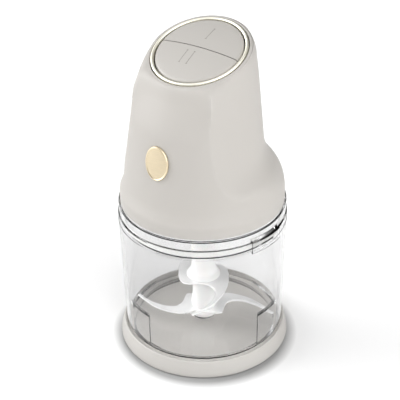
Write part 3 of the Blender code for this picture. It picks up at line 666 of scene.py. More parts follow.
class Finishes(Enum):
    """Every finish on the chopper."""

    HOUSING = MouldedPlastic("cream_housing", (0.415, 0.396, 0.372), 0.5, shine=0.35)
    # painted light: the inside of the dish, the same plastic as its outside, is painted lighter
    BASE = MouldedPlastic("cream_base", (0.427, 0.413, 0.391), 0.5, painted_light_r=0.0605,
                          painted_light_gain=1.72)
    BUTTON = MouldedPlastic("cream_button", (0.42, 0.403, 0.379), 0.36, grain_depth=0.00001,
                            edge_light=0.0, dust=0.0)
    MARK = MouldedPlastic("button_mark", (0.2, 0.185, 0.165), 0.5)
    CLEAR = ClearPlastic("clear_bowl", (0.868, 0.868, 0.87), 0.015, ior=1.32)
    CLEAR_LID = ClearPlastic("clear_lid", (0.96, 0.96, 0.96), 0.02, ior=1.32)
    WHITE = MouldedPlastic("white_hub", (0.8, 0.8, 0.79), 0.35, subsurface=0.1)
    BLACK = MouldedPlastic("black_seat", (0.02, 0.02, 0.022), 0.5, dust=0.05)
    GREY = MouldedPlastic("grey_chassis", (0.33, 0.34, 0.35), 0.5)
    NYLON = MouldedPlastic("nylon_gear", (0.8, 0.79, 0.72), 0.45)
    CARBON = MouldedPlastic("carbon_brush", (0.04, 0.04, 0.04), 0.75)
    FERRITE = MouldedPlastic("ferrite_magnet", (0.07, 0.07, 0.075), 0.65)
    GOLD = TurnedMetal("pale_gold_ring", (1.0, 0.97, 0.84), 0.5)
    BADGE = GroundSteel("pale_gold_badge", (0.7, 0.6, 0.43), 0.35)
    BLADE = GroundSteel("ground_blade", (0.93, 0.93, 0.93), 0.34, metal=0.35)
    STEEL = TurnedMetal("turned_steel", (0.55, 0.56, 0.57), 0.3)
    LAMINATION = GroundSteel("stacked_lamination", (0.3, 0.3, 0.31), 0.5)
    COPPER = WoundCopper("wound_copper", (0.72, 0.34, 0.18), 0.3)
    BRONZE = TurnedMetal("sintered_bronze", (0.55, 0.38, 0.2), 0.42)
    RUBBER = DustyRubber("foot_rubber", (0.11, 0.11, 0.11), 0.8)
    SEAL = DustyRubber("silicone_seal", (0.78, 0.78, 0.76), 0.55)
    BOARD = CircuitBoard("circuit_board", (0.04, 0.2, 0.09), 0.4)

    def material(self) -> bpy.types.Material:
        """Give this finish's material."""
        return self.value.material()


SLOT_FINISH: Dict[str, Finishes] = {
    "cream_satin": Finishes.HOUSING,
    "black_plastic": Finishes.BLACK,
    "grey_plastic": Finishes.GREY,
    "nylon": Finishes.NYLON,
    "steel": Finishes.STEEL,
    "lamination": Finishes.LAMINATION,
    "ferrite": Finishes.FERRITE,
    "copper": Finishes.COPPER,
    "bronze": Finishes.BRONZE,
    "carbon": Finishes.CARBON,
    "rubber": Finishes.RUBBER,
    "seal_rubber": Finishes.SEAL,
    "board_green": Finishes.BOARD,
}


# ---------------------------------------------------------------- mesh shop


def bearing_point(radius: float, bearing: float, z: float = 0.0) -> Point:
    """Point at a radius and a bearing.

    Args:
        radius: distance from the spindle axis.
        bearing: degrees from the front towards +X.
        z: height.

    Returns:
        The point.
    """
    angle = math.radians(bearing)
    return (radius * math.sin(angle), -radius * math.cos(angle), z)


def circle(radius: float, count: int) -> List[Pair]:
    """List the points of a level circle round the spindle axis.

    Args:
        radius: its radius.
        count: number of points.

    Returns:
        The points.
    """
    turns = [2.0 * math.pi * i / count for i in range(count)]
    return [(radius * math.cos(turn), radius * math.sin(turn)) for turn in turns]


def smooth_path(points: Sequence[Pair], steps: int) -> List[Pair]:
    """Run a rounded curve through points.

    Args:
        points: the points it passes.
        steps: pieces that each span is cut into.

    Returns:
        The curve's points, ends included.
    """
    ends = [points[0], *points, points[-1]]
    path: List[Pair] = []
    for span in zip(ends, ends[1:], ends[2:], ends[3:]):
        for i in range(steps):
            t = i / steps
            path.append(tuple(
                0.5 * (2 * b + (c - a) * t + (2 * a - 5 * b + 4 * c - d) * t ** 2
                       + (3 * b - a - 3 * c + d) * t ** 3) for a, b, c, d in zip(*span)))
    path.append(points[-1])
    return path


def spin_profile(profile: Sequence[Pair], steps: int, start: float = 0.0,
                 sweep: Optional[float] = None, bm: Optional[Mesh] = None) -> Mesh:
    """Turn a closed (radius, z) outline round the spindle axis.

    Args:
        profile: the outline.
        steps: number of steps.
        start: first bearing.
        sweep: degrees turned, or None for a full turn.
        bm: mesh to add to.

    Returns:
        The mesh.
    """
    bm = bm or bmesh.new()
    verts = [bm.verts.new(bearing_point(r, start, z)) for r, z in profile]
    count = len(profile)
    edges = []
    for i in range(count):
        if profile[i][0] != 0.0 or profile[(i + 1) % count][0] != 0.0:
            edges.append(bm.edges.new((verts[i], verts[(i + 1) % count])))
    full = sweep is None
    if not full:
        bm.faces.new(verts)
    result = bmesh.ops.spin(bm, geom=verts + edges, cent=(0, 0, 0), axis=(0, 0, 1),
                            dvec=(0, 0, 0), angle=2.0 * math.pi if full else math.radians(sweep),
                            steps=steps, use_merge=full)
    if not full:
        bm.faces.new([v for v in result["geom_last"] if isinstance(v, bmesh.types.BMVert)])
    bmesh.ops.remove_doubles(bm, verts=bm.verts, dist=WELD)
    bmesh.ops.recalc_face_normals(bm, faces=bm.faces)
    return bm


def flat_plate(loops: Sequence[Sequence[Pair]], low: float, high: float) -> Mesh:
    """Fill closed level loops and raise them into a plate.

    Args:
        loops: the outline, then its holes.
        low: height of the underside.
        high: height of the top.

    Returns:
        The mesh.
    """
    bm = bmesh.new()
    edges = []
    for loop in loops:
        verts = [bm.verts.new((x, y, low)) for x, y in loop]
        edges += [bm.edges.new((v, verts[(i + 1) % len(verts)])) for i, v in enumerate(verts)]
    filled = bmesh.ops.triangle_fill(bm, edges=edges, use_beauty=True)
    faces = [f for f in filled["geom"] if isinstance(f, bmesh.types.BMFace)]
    raised = bmesh.ops.extrude_face_region(bm, geom=faces)
    top = [v for v in raised["geom"] if isinstance(v, bmesh.types.BMVert)]
    bmesh.ops.translate(bm, verts=top, vec=(0, 0, high - low))
    bmesh.ops.recalc_face_normals(bm, faces=bm.faces)
    return bm


def soften(bm: Mesh, offset: float, segments: int, angle: float,
           chosen: Optional[Callable[[bmesh.types.BMEdge], bool]] = None) -> None:
    """Bevel the edges that turn more than an angle.

    Args:
        bm: the mesh.
        offset: bevel width.
        segments: bevel segments.
        angle: least turn in degrees.
        chosen: further test that an edge has to pass.
    """
    limit = math.radians(angle)
    edges = [e for e in bm.edges if len(e.link_faces) == 2 and e.calc_face_angle(0.0) > limit]
    if chosen is not None:
        edges = [e for e in edges if chosen(e)]
    bmesh.ops.bevel(bm, geom=edges, offset=offset, offset_type="OFFSET", segments=segments,
                    profile=0.5, affect="EDGES", material=-1, clamp_overlap=True)


def finish_piece(name: str, bm: Mesh, body: Body, finish: Finishes, nodes: Sequence[str] = (),
                 sharp: float = SHARP) -> None:
    """Turn a millimetre mesh into a finished piece on its body.

    Args:
        name: the piece's name.
        bm: its mesh, which is freed.
        body: the body it rides on.
        finish: its finish.
        nodes: CAD nodes it stands for.
        sharp: turn in degrees past which an edge stays sharp.
    """
    bmesh.ops.remove_doubles(bm, verts=bm.verts, dist=WELD)
    bmesh.ops.scale(bm, vec=(MM, MM, MM), verts=bm.verts)
    bmesh.ops.recalc_face_normals(bm, faces=bm.faces)
    mesh = bpy.data.meshes.new(name)
    bm.to_mesh(mesh)
    bm.free()
    mesh.shade_smooth()
    mesh.set_sharp_from_angle(angle=math.radians(sharp))
    mesh.materials.append(finish.material())
    piece = bpy.data.objects.new(name, mesh)
    bpy.context.scene.collection.objects.link(piece)
    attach(piece, body.value)
    if nodes:
        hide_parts(*nodes)
    LOG.info("%s: %d faces on %s", name, len(mesh.polygons), body.value)


def join_shapes(bm: Mesh, tool: Mesh, operation: str = "UNION") -> Mesh:
    """Join or cut one closed mesh with another.

    Args:
        bm: the mesh to work on, which is freed.
        tool: the tool mesh, which is freed.
        operation: Blender's boolean operation.

    Returns:
        A new mesh.
    """
    objects = []
    for number, part in enumerate((bm, tool)):
        mesh = bpy.data.meshes.new("shape_%d" % number)
        part.to_mesh(mesh)
        part.free()
        objects.append(bpy.data.objects.new("shape_%d" % number, mesh))
        bpy.context.scene.collection.objects.link(objects[-1])
    target, other = objects
    modifier = target.modifiers.new("join", "BOOLEAN")
    modifier.solver = "EXACT"
    modifier.operation = operation
    modifier.object = other
    bpy.context.view_layer.update()
    ready = target.evaluated_get(bpy.context.evaluated_depsgraph_get())
    result = bmesh.new()
    result.from_mesh(ready.data)
    for item in objects:
        mesh = item.data
        bpy.data.objects.remove(item, do_unlink=True)
        bpy.data.meshes.remove(mesh)
    return result


def between(table: Sequence[Pair], value: float) -> float:
    """Read a table with a smooth curve through its rows.

    Args:
        table: (height, value) rows.
        value: the height.

    Returns:
        The value there.
    """
    if value <= table[0][0]:
        return table[0][1]
    if value >= table[-1][0]:
        return table[-1][1]
    slopes = []
    for i in range(len(table)):
        before = table[max(0, i - 1)]
        after = table[min(len(table) - 1, i + 1)]
        slopes.append((after[1] - before[1]) / (after[0] - before[0]))
    row = next(i for i in range(len(table) - 1) if value <= table[i + 1][0])
    (z0, v0), (z1, v1) = table[row:row + 2]
    span = z1 - z0
    t = (value - z0) / span
    leave = slopes[row] * (t ** 3 - 2 * t ** 2 + t)
    arrive = slopes[row + 1] * (t ** 3 - t ** 2)
    return (v0 * (2 * t ** 3 - 3 * t ** 2 + 1) + v1 * (3 * t ** 2 - 2 * t ** 3)
            + span * (leave + arrive))


def step_up(low: float, high: float, value: float) -> float:
    """Smooth 0 to 1 step.

    Args:
        low: where it starts.
        high: where it ends.
        value: where it is read.

    Returns:
        The step's value.
    """
    t = min(1.0, max(0.0, (value - low) / (high - low)))
    return t * t * (3.0 - 2.0 * t)


# ---------------------------------------------------------------- base


@dataclass
class Base:
    """Cream dish that holds the bowl, with its rubber ring."""

    outer: float = 65.0
    top_z: float = 14.0
    top_outer: float = 62.3
    inner: float = 60.3
    floor_low: float = 3.0
    floor_high: float = 6.0
    rim_low: float = 0.8
    steps: int = 160

    def build(self) -> None:
        """Make the dish."""
        profile = [(0.0, self.floor_low), (self.inner, self.floor_low), (self.inner, self.rim_low),
                   (self.outer - 0.5, self.rim_low), (self.outer, 1.6), (self.outer - 0.25, 4.0),
                   (self.top_outer + 0.2, self.top_z - 0.7), (self.top_outer - 0.3, self.top_z),
                   (61.1, self.top_z), (60.8, self.top_z - 0.5), (60.5, self.floor_high),
                   (0.0, self.floor_high)]
        bm = spin_profile(profile, self.steps)
        soften(bm, 0.35, 3, 20.0, lambda edge: edge.verts[0].co.z > self.floor_high + 4.0
               or edge.verts[0].co.xy.length > self.outer - 1.0)
        finish_piece("base_dish", bm, Body.BASE, Finishes.BASE, ["base_ring"])


# ---------------------------------------------------------------- bowl


@dataclass
class Bowl:
    """Clear bowl with inner ribs, a bead, bayonet lugs and a spindle boss."""

    floor_z: float = 14.0
    brim_z: float = 112.0
    low_r: float = 60.4
    draft: float = 0.0245
    wall: float = 2.1
    bead_z: float = 105.7
    rib_r: float = 56.4
    rib_top: float = 44.0
    rib_bearings: Tuple[float, ...] = (-20.0, 88.0, 214.0)
    rib_half: float = 10.0
    lug_bearings: Tuple[float, ...] = (80.6, 260.6)
    lug_half: float = 6.0
    lug_r: float = 63.7
    pin_bore: float = 3.3
    foot_z: float = 6.3
    under_z: float = 11.5
    boss_r: float = 6.8
    boss_top: float = 18.9
    steps: int = 180

    def radius(self, z: float) -> float:
        """Outer radius of the drafted wall at a height."""
        return self.low_r + (z - self.floor_z) * self.draft

    def profile(self) -> List[Pair]:
        """Cross-section of the bowl without ribs and lugs.

        Returns:
            The closed outline.
        """
        bead = self.radius(self.bead_z)
        brim = self.radius(self.brim_z)
        outer = [(0.0, self.under_z), (53.0, self.under_z), (54.5, self.foot_z),
                 (59.0, self.foot_z), (59.7, self.foot_z + 0.9), (60.2, self.under_z)]
        outer += [(self.radius(z), z) for z in (30.0, 50.0, 75.0, 100.0)]
        outer += [(bead - 0.02, self.bead_z - 0.8), (bead + 0.25, self.bead_z - 0.4),
                  (bead + 0.25, self.bead_z + 0.4), (bead + 0.03, self.bead_z + 0.8)]
        outer += [(self.radius(z), z) for z in (106.75, 106.95, 108.6, 109.2)]
        outer += [(brim, self.brim_z - 0.6), (brim - 0.5, self.brim_z)]
        inner = [(brim - self.wall + 0.3, self.brim_z), (brim - self.wall, self.brim_z - 0.5)]
        inner += [(self.radius(z) - self.wall, z) for z in (90.0, 65.0, 50.0)]
        inner += [(self.radius(z) - self.wall, z) for z in
                  (self.rib_top + 0.6, self.rib_top, self.rib_top - 3.0, 36.0, 28.0, 20.0, 17.0)]
        floor = [(57.2, self.floor_z + 0.8), (55.5, self.floor_z), (30.0, self.floor_z),
                 (9.0, self.floor_z), (9.0, 15.6), (self.boss_r, 15.6),
                 (self.boss_r, self.boss_top - 0.5), (self.boss_r - 0.5, self.boss_top),
                 (self.pin_bore, self.boss_top), (self.pin_bore, self.under_z + 1.3),
                 (0.0, self.under_z + 1.3)]
        return outer + inner + floor

    def build(self) -> None:
        """Make the bowl, then push out its ribs and lugs."""
        bm = spin_profile(self.profile(), self.steps)
        for vert in bm.verts:
            flat = vert.co.xy.length
            bearing = math.degrees(math.atan2(vert.co.x, -vert.co.y))
            z = vert.co.z
            if self.near(bearing, self.rib_bearings, self.rib_half):
                inside = flat < self.radius(z) - 1.0 and flat > 55.0
                if inside and self.floor_z - 0.2 < z < self.rib_top - 0.01:
                    self.push(vert, self.rib_r)
                elif inside and abs(z - self.rib_top) < 0.01:
                    self.push(vert, self.rib_r + 0.8)
            if self.near(bearing, self.lug_bearings, self.lug_half + 0.5):
                if flat > self.radius(z) - 0.1 and 106.9 < z < 109.0:
                    self.push(vert, self.lug_r if z < 108.0 else self.lug_r - 0.2)
        finish_piece("clear_bowl_shell", bm, Body.BOWL, Finishes.CLEAR, ["bowl"],
                     SHARP_CLEAR)

    @staticmethod
    def near(bearing: float, centres: Sequence[float], half: float) -> bool:
        """True if a bearing lies within half of one of the centres."""
        return any(abs((bearing - c + 180.0) % 360.0 - 180.0) <= half + 0.01 for c in centres)

    @staticmethod
    def push(vert: bmesh.types.BMVert, radius: float) -> None:
        """Move a vertex level to a radius."""
        share = radius / vert.co.xy.length
        vert.co.x *= share
        vert.co.y *= share


# ---------------------------------------------------------------- blades


@dataclass
class Blade:
    """S-shaped plate: one arm drawn in the plane, used twice, its inner edge ground thin."""

    name: str
    node: str
    z: float
    bearing: float
    drop: float
    root: List[Pair]
    back: List[Pair]
    inner: List[Pair]
    heel: List[Pair]
    thickness: float = 1.2
    bore: float = 6.3
    edge_left: float = 0.25
    grind: float = 2.6
    overhang: float = 0.8
    tips: int = 2
    flat_r: float = 14.4

    def turned(self, points: Sequence[Pair], side: float) -> List[Pair]:
        """Turn points of the arm to its bearing.

        Args:
            points: the points to turn.
            side: 1 for the arm as drawn, -1 for the opposite one.

        Returns:
            The turned points.
        """
        turn = math.radians(self.bearing - 90.0)
        cosine = side * math.cos(turn)
        sine = side * math.sin(turn)
        return [(x * cosine - y * sine, x * sine + y * cosine) for x, y in points]

    def grinding_wedge(self, path: Sequence[Pair]) -> Mesh:
        """Build the body that grinds one cutting edge to a slope.

        Args:
            path: points along the edge, the blade lying to their left.

        Returns:
            A plate whose underside climbs from the edge to the blade's top.
        """
        outside = []
        inside = []
        for i, (x, y) in enumerate(path):
            ahead = path[min(i + 1, len(path) - 1)]
            behind = path[max(i - 1, 0)]
            along = Vector((ahead[0] - behind[0], ahead[1] - behind[1])).normalized()
            outside.append((x + along.y * self.overhang, y - along.x * self.overhang))
            inside.append((x - along.y * self.grind, y + along.x * self.grind))
        low = self.z + self.edge_left
        high = self.z + self.thickness
        bm = flat_plate([outside + list(reversed(inside))], low, high + 1.0)
        reach = {(round(x, 3), round(y, 3)) for x, y in inside}
        for vert in bm.verts:
            if vert.co.z < low + 0.01 and (round(vert.co.x, 3), round(vert.co.y, 3)) in reach:
                vert.co.z = high
        return bm

    def build(self) -> None:
        """Cut the plate, grind its cutting edges and bend its arms."""
        inner = smooth_path(self.inner, 3)
        arm = self.root + smooth_path(self.back, 3) + inner + self.heel
        outline = self.turned(arm, 1.0) + self.turned(arm, -1.0)
        bm = flat_plate([outline, circle(self.bore, 40)], self.z, self.z + self.thickness)
        for side in (1.0, -1.0):
            ground = self.turned(inner[self.tips:-self.tips], side)
            bm = join_shapes(bm, self.grinding_wedge(ground), "DIFFERENCE")
        for vert in bm.verts:
            vert.co.z -= self.drop * max(0.0, vert.co.xy.length - self.flat_r)
        finish_piece(self.name, bm, Body.BLADES, Finishes.BLADE, [self.node],
                     SHARP_CLEAR)


@dataclass
class BladeSet:
    """White hub, its sleeves and the two S-blades."""

    steps: int = 72
    cup_r: float = 10.4
    cup_bore: float = 8.2
    sleeve_r: float = 8.7
    core_r: float = 6.0
    spindle: float = 3.3
    sleeve_bore: float = 6.3
    cup_floor: float = 111.0
    cup_top: float = 118.6
    dog_half: float = 18.0

    def build(self) -> None:
        """Make the hub, the sleeves and the blades."""
        self.build_hub()
        self.build_sleeves()
        Blade("lower_s_blade", "lower_blade", 21.9, 125.0, 0.0,
              [(8.6, 9.2), (10.4, 12.6), (11.6, 11.0), (12.9, 13.2), (14.1, 11.6), (15.4, 13.4),
               (16.6, 11.9), (18.0, 12.9)],
              [(24.0, 11.3), (30.5, 8.6), (36.5, 5.0), (41.5, 0.6), (46.5, -5.0), (52.5, -12.2)],
              [(50.8, -13.0), (46.0, -8.2), (41.0, -4.0), (35.0, -0.2), (29.0, 2.4), (22.0, 2.6),
               (17.8, 0.4)],
              [(15.9, -4.0), (14.8, -9.0), (13.6, -12.6), (9.5, -12.8), (4.0, -11.6)]).build()
        Blade("upper_s_blade", "upper_blade", 50.0, 35.0, 0.09,
              [(-12.6, 6.0), (-13.0, 11.0), (-11.2, 15.6), (-6.8, 18.4), (0.0, 19.4), (8.0, 19.2)],
              [(15.0, 18.0), (22.0, 15.8), (29.0, 12.4), (35.0, 8.2), (40.5, 3.0), (45.0, -3.0),
               (48.4, -8.6)],
              [(46.8, -9.4), (43.2, -4.2), (39.3, 0.6), (34.3, 4.8), (29.0, 7.6), (24.0, 8.6),
               (19.6, 7.6), (15.8, 4.8)],
              [(13.4, 0.6), (12.6, -4.0)]).build()

    def build_hub(self) -> None:
        """Make the hub with its claw cup."""
        profile = [(self.spindle, 19.6), (7.4, 19.6), (7.4, 16.2), (9.8, 16.2), (10.6, 17.0),
                   (11.2, 20.8), (10.8, 21.6), (self.core_r, 21.6), (self.core_r, 106.0),
                   (self.sleeve_r, 106.8), (self.cup_r, 109.0), (self.cup_r, self.cup_top - 0.6),
                   (self.cup_r - 0.6, self.cup_top), (self.cup_bore, self.cup_top),
                   (self.cup_bore, self.cup_floor), (0.0, self.cup_floor), (0.0, 92.0),
                   (self.spindle, 91.0)]
        bm = spin_profile(profile, self.steps)
        low = self.cup_floor - 1.0
        high = self.cup_top - 2.0
        dog = [(4.6, low), (9.0, low), (9.0, high), (4.6, high)]
        dogs = bmesh.new()
        for bearing in (0.0, 180.0):
            spin_profile(dog, 8, bearing - self.dog_half, 2.0 * self.dog_half, dogs)
        bm = join_shapes(bm, dogs)
        finish_piece("blade_hub_core", bm, Body.BLADES, Finishes.WHITE, ["blade_hub"])

    def build_sleeves(self) -> None:
        """Make the spacer between the blades and the sleeve above them."""
        bore = self.sleeve_bore
        neck = self.sleeve_r - 0.4
        spacer = [(bore, 23.4), (9.6, 23.4), (9.9, 26.4), (self.sleeve_r, 34.0), (neck, 45.7),
                  (10.4, 49.7), (bore, 49.7)]
        sleeve = [(bore, 51.5), (12.9, 51.5), (12.9, 52.3), (10.6, 55.1), (9.4, 59.5),
                  (self.sleeve_r, 67.5), (neck, 105.5), (bore, 105.5)]
        for name, node, profile in (("blade_spacer", "hub_spacer", spacer),
                                    ("blade_sleeve", "hub_sleeve", sleeve)):
            bm = spin_profile(profile, self.steps)
            soften(bm, 0.5, 2, 8.0)
            finish_piece(name, bm, Body.BLADES, Finishes.WHITE, [node])


# ---------------------------------------------------------------- lid


@dataclass
class Lid:
    """Clear bayonet lid with its drive collar."""

    low_z: float = 112.4
    top_z: float = 121.0
    outer: float = 62.1
    collar: float = 14.0
    collar_bore: float = 12.0
    collar_low: float = 107.0
    plate_low: float = 118.4
    plug_low: float = 104.0
    tab_bearings: Tuple[float, ...] = (80.6, 260.6)
    tab_span: float = 26.0
    steps: int = 160

    def build(self) -> None:
        """Make the lid and its tabs."""
        profile = [(self.outer - 0.2, self.low_z), (self.outer, self.low_z + 0.3),
                   (self.outer, self.top_z - 0.4), (self.outer - 0.4, self.top_z),
                   (self.collar_bore, self.top_z), (self.collar_bore, self.collar_low),
                   (self.collar, self.collar_low), (self.collar, self.plate_low),
                   (56.2, self.plate_low), (56.4, self.plug_low + 0.4), (58.0, self.plug_low),
                   (58.2, self.plate_low), (60.4, self.plate_low), (60.4, self.low_z)]
        bm = spin_profile(profile, self.steps)
        tab = [(61.0, 112.8), (61.0, 116.0), (62.4, 116.0), (64.9, 113.4), (65.0, 104.9),
               (64.7, 104.5), (63.25, 104.5), (63.25, 106.5), (64.0, 106.5), (64.0, 112.8)]
        tabs = bmesh.new()
        for bearing in self.tab_bearings:
            spin_profile(tab, 16, bearing - self.tab_span / 2.0, self.tab_span, tabs)
        bm = join_shapes(bm, tabs)
        finish_piece("clear_lid_shell", bm, Body.LID, Finishes.CLEAR_LID, ["lid"],
                     SHARP_CLEAR)


# ---------------------------------------------------------------- head


@dataclass
class Panel:
    """The tilted plane that carries the ring and the buttons."""

    tilt: float = math.radians(20.0)
    centre: Point = (0.0, -1.5, 238.4)

    def matrix(self) -> Matrix:
        """Panel frame to row frame, in millimetres."""
        return Matrix.Translation(Vector(self.centre)) @ Matrix.Rotation(self.tilt, 4, "X")

    def point(self, radius: float, bearing: float, depth: float) -> Vector:
        """Row-frame point at a radius, bearing and depth on the panel."""
        x, y, _ = bearing_point(radius, bearing)
        return self.matrix() @ Vector((x, y, depth))

    def settle(self, bm: Mesh) -> None:
        """Move a mesh drawn in the panel's frame into the row frame."""
        bmesh.ops.transform(bm, matrix=self.matrix(), verts=bm.verts)


@dataclass
class HeadShell:
    """Cream shell: foot band, creased front apron, flared shoulder, neck and tilted top."""

    panel: Panel
    lip_r: float = 35.9
    hole_r: float = 35.3
    shoulder: float = 4.2
    growth: float = 1.15
    fullness: float = 0.55
    flare_span: float = 40.0
    wall: float = 2.4
    apron: Tuple[Pair, ...] = ((129.0, 60.8), (131.0, 60.5), (134.0, 59.2), (137.0, 58.0),
                               (140.0, 57.3), (150.0, 56.3), (165.0, 54.8), (180.0, 53.1),
                               (250.0, 42.9))
    neck: Tuple[Pair, ...] = ((129.0, 60.8), (134.0, 60.5), (139.0, 59.6), (144.0, 57.9),
                              (149.5, 54.9), (154.5, 51.0), (159.5, 47.9), (164.5, 45.9),
                              (169.0, 45.0), (179.0, 44.1), (198.0, 42.5), (217.0, 40.9),
                              (235.0, 39.0), (250.0, 37.4))
    edge: Tuple[Pair, ...] = ((121.0, 64.0), (140.0, 62.0), (150.0, 56.0), (155.0, 51.5),
                              (164.0, 46.5), (175.0, 43.6), (195.0, 42.0), (210.0, 42.4),
                              (220.0, 45.0), (228.0, 50.0), (234.0, 60.0), (238.0, 76.0),
                              (242.0, 86.0))
    scoop: float = 10.4
    scoop_low: float = 192.0
    scoop_high: float = 232.0
    apron_columns: int = 18
    back_columns: int = 36
    back_spread: float = 1.35
    heights: Tuple[float, ...] = (
        121.3, 122.3, 127.0, 129.0, 130.0, 131.0, 132.5, 134.0, 135.5, 137.0, 138.5, 140.0, 142.0,
        144.0, 146.0, 148.0, 150.0, 152.0, 154.0, 156.0, 158.0, 160.0, 162.5, 165.0, 168.0)
    crease_from: int = 14
    crease_width: float = 0.6
    upper_steps: int = 18
    upper_edge: float = 72.0
    settle_rounds: int = 8
    shoulder_steps: int = 8
    well_depth: float = 9.0
    gland_r: float = 4.9
    gland_y: float = 60.0
    gland_z: float = 128.0
    gland_depth: float = 12.0

    def apron_radius(self, z: float, share: float) -> float:
        """Radius of the apron: share is 0 on the centre line and 1 at its creased edges."""
        scoop = self.scoop * step_up(self.scoop_low, self.scoop_high, z)
        return between(self.apron, z) - scoop * (1.0 - share ** 3)

    def column(self, share: float, z: float) -> Pair:
        """Bearing and radius of one column at a height.

        Args:
            share: 0 to 1 across half the apron, 1 to 2 round the side and back.
            z: the height.

        Returns:
            The bearing and the radius.
        """
        edge = between(self.edge, z)
        if share <= 1.0:
            return edge * share, self.apron_radius(z, share)
        apron = self.apron_radius(z, 1.0)
        neck = between(self.neck, z)
        bearing = edge + (180.0 - edge) * (share - 1.0)
        if neck >= apron:
            return bearing, apron + (neck - apron) * step_up(edge, edge + self.flare_span, bearing)
        tangent = edge + math.degrees(math.acos(neck / apron))
        if bearing < tangent:
            return bearing, neck / math.cos(math.radians(tangent - bearing))
        return bearing, neck

    def shoulder_depth(self, bearing: float, radius: float) -> float:
        """Height of the rounded shoulder: larger where the body stands further out."""
        lip = self.panel.point(self.lip_r, bearing, 0.0)
        return self.shoulder + self.growth * max(0.0, radius - lip.xy.length)

    def shares(self) -> List[Tuple[float, float]]:
        """List the columns all the way round.

        Returns:
            Each column's share, and its side: 1 towards +X, -1 towards -X.
        """
        front = [i / self.apron_columns for i in range(self.apron_columns)]
        back = [1.0 + (i / self.back_columns) ** self.back_spread for i in range(self.back_columns)]
        half = front + back
        return [(s, 1.0) for s in half] + [(2.0, 1.0)] + [(s, -1.0) for s in reversed(half[1:])]

    def loops(self) -> List[List[Vector]]:
        """Place the rows of points up the outside, over the rim and down the panel's well.

        Returns:
            The rows, lowest first.
        """
        signed = self.shares()
        loops = []
        for z in self.heights:
            columns = [(*self.column(share, z), side) for share, side in signed]
            loops.append([Vector(bearing_point(radius, side * bearing, z))
                          for bearing, radius, side in columns])
        for k in range(1, self.upper_steps + 1):
            loops.append([self.upper_point(share, side, k / self.upper_steps)
                          for share, side in signed])
        below, top = loops[-2:]
        rim = self.well_loop(top, self.lip_r, -0.35)
        for k in range(1, self.shoulder_steps):
            t = k / self.shoulder_steps
            loops.append([self.shoulder_point(under, low, high, t)
                          for under, low, high in zip(below, top, rim)])
        loops.append(rim)
        loops.append(self.well_loop(top, self.hole_r + 0.15, -0.45))
        loops.append(self.well_loop(top, self.hole_r, -0.9))
        loops.append(self.well_loop(top, self.hole_r, -self.well_depth))
        return loops

    def upper_point(self, share: float, side: float, step: float) -> Vector:
        """Point of the wall above the last level row, where rows tilt up to the panel.

        Args:
            share: the column's share.
            side: 1 towards +X, -1 towards -X.
            step: 0 at the last level row, 1 at the foot of the shoulder.

        Returns:
            The point, settled by going between its height and its bearing a few times.
        """
        start = self.heights[-1]
        edge = self.upper_edge
        bearing = edge * share if share <= 1.0 else edge + (180.0 - edge) * (share - 1.0)
        radius = self.lip_r
        for _ in range(self.settle_rounds):
            drop = self.shoulder_depth(bearing, radius)
            rim = self.panel.point(self.lip_r, bearing, 0.0).z - drop
            z = start + (rim - start) * step
            bearing, radius = self.column(share, z)
        return Vector(bearing_point(radius, side * bearing, z))

    def shoulder_point(self, under: Vector, low: Vector, high: Vector, t: float) -> Vector:
        """Point of a curve that leaves the wall upwards and meets the rim level.

        Args:
            under: the wall's point below its top.
            low: the wall's top.
            high: the rim.
            t: 0 at the wall, 1 at the rim.

        Returns:
            The point.
        """
        rise = high.z - low.z
        out = Vector((low.x - high.x, low.y - high.y, 0.0))
        upward = low + (low - under).normalized() * rise * self.fullness
        level = high + out * self.fullness
        return (low * (1.0 - t) ** 3 + upward * 3.0 * t * (1.0 - t) ** 2
                + level * 3.0 * t * t * (1.0 - t) + high * t ** 3)

    def well_loop(self, reference: Sequence[Vector], radius: float, depth: float) -> List[Vector]:
        """Place a circle on the panel whose points stand at another row's bearings.

        Args:
            reference: the other row.
            radius: the circle's radius.
            depth: its height over the panel.

        Returns:
            The circle's points.
        """
        loop = []
        for point in reference:
            bearing = math.degrees(math.atan2(point.x, -(point.y - self.panel.centre[1])))
            loop.append(self.panel.point(radius, bearing, depth))
        return loop

    def build(self) -> None:
        """Raise the shell ring by ring from a circle of edges, then soften its crease."""
        loops = self.loops()
        count = len(loops[0])
        bm = bmesh.new()
        ring = bmesh.ops.create_circle(bm, cap_ends=False, segments=count, radius=1.0)
        verts = list(ring["verts"])
        for vert, point in zip(verts, loops[0]):
            vert.co = point
        edges = list(bm.edges)
        for loop in loops[1:]:
            raised = bmesh.ops.extrude_edge_only(bm, edges=edges)
            edges = [e for e in raised["geom"] if isinstance(e, bmesh.types.BMEdge)]
            edges = [e for e in edges if len(e.link_faces) == 1]
            fresh = {v for v in raised["geom"] if isinstance(v, bmesh.types.BMVert)}
            verts = [next(e.other_vert(v) for e in v.link_edges if e.other_vert(v) in fresh)
                     for v in verts]
            for vert, point in zip(verts, loop):
                vert.co = point
        crease = self.crease_edges(bm, loops)
        bmesh.ops.bevel(bm, geom=crease, offset=self.crease_width, offset_type="OFFSET",
                        segments=3, profile=0.5, affect="EDGES", material=-1, clamp_overlap=True)
        bmesh.ops.recalc_face_normals(bm, faces=bm.faces)
        bmesh.ops.solidify(bm, geom=list(bm.faces), thickness=self.wall)
        bm = join_shapes(bm, self.gland_drill(), "DIFFERENCE")
        finish_piece("motor_housing_shell", bm, Body.HEAD, Finishes.HOUSING, ["motor_housing"],
                     32.0)

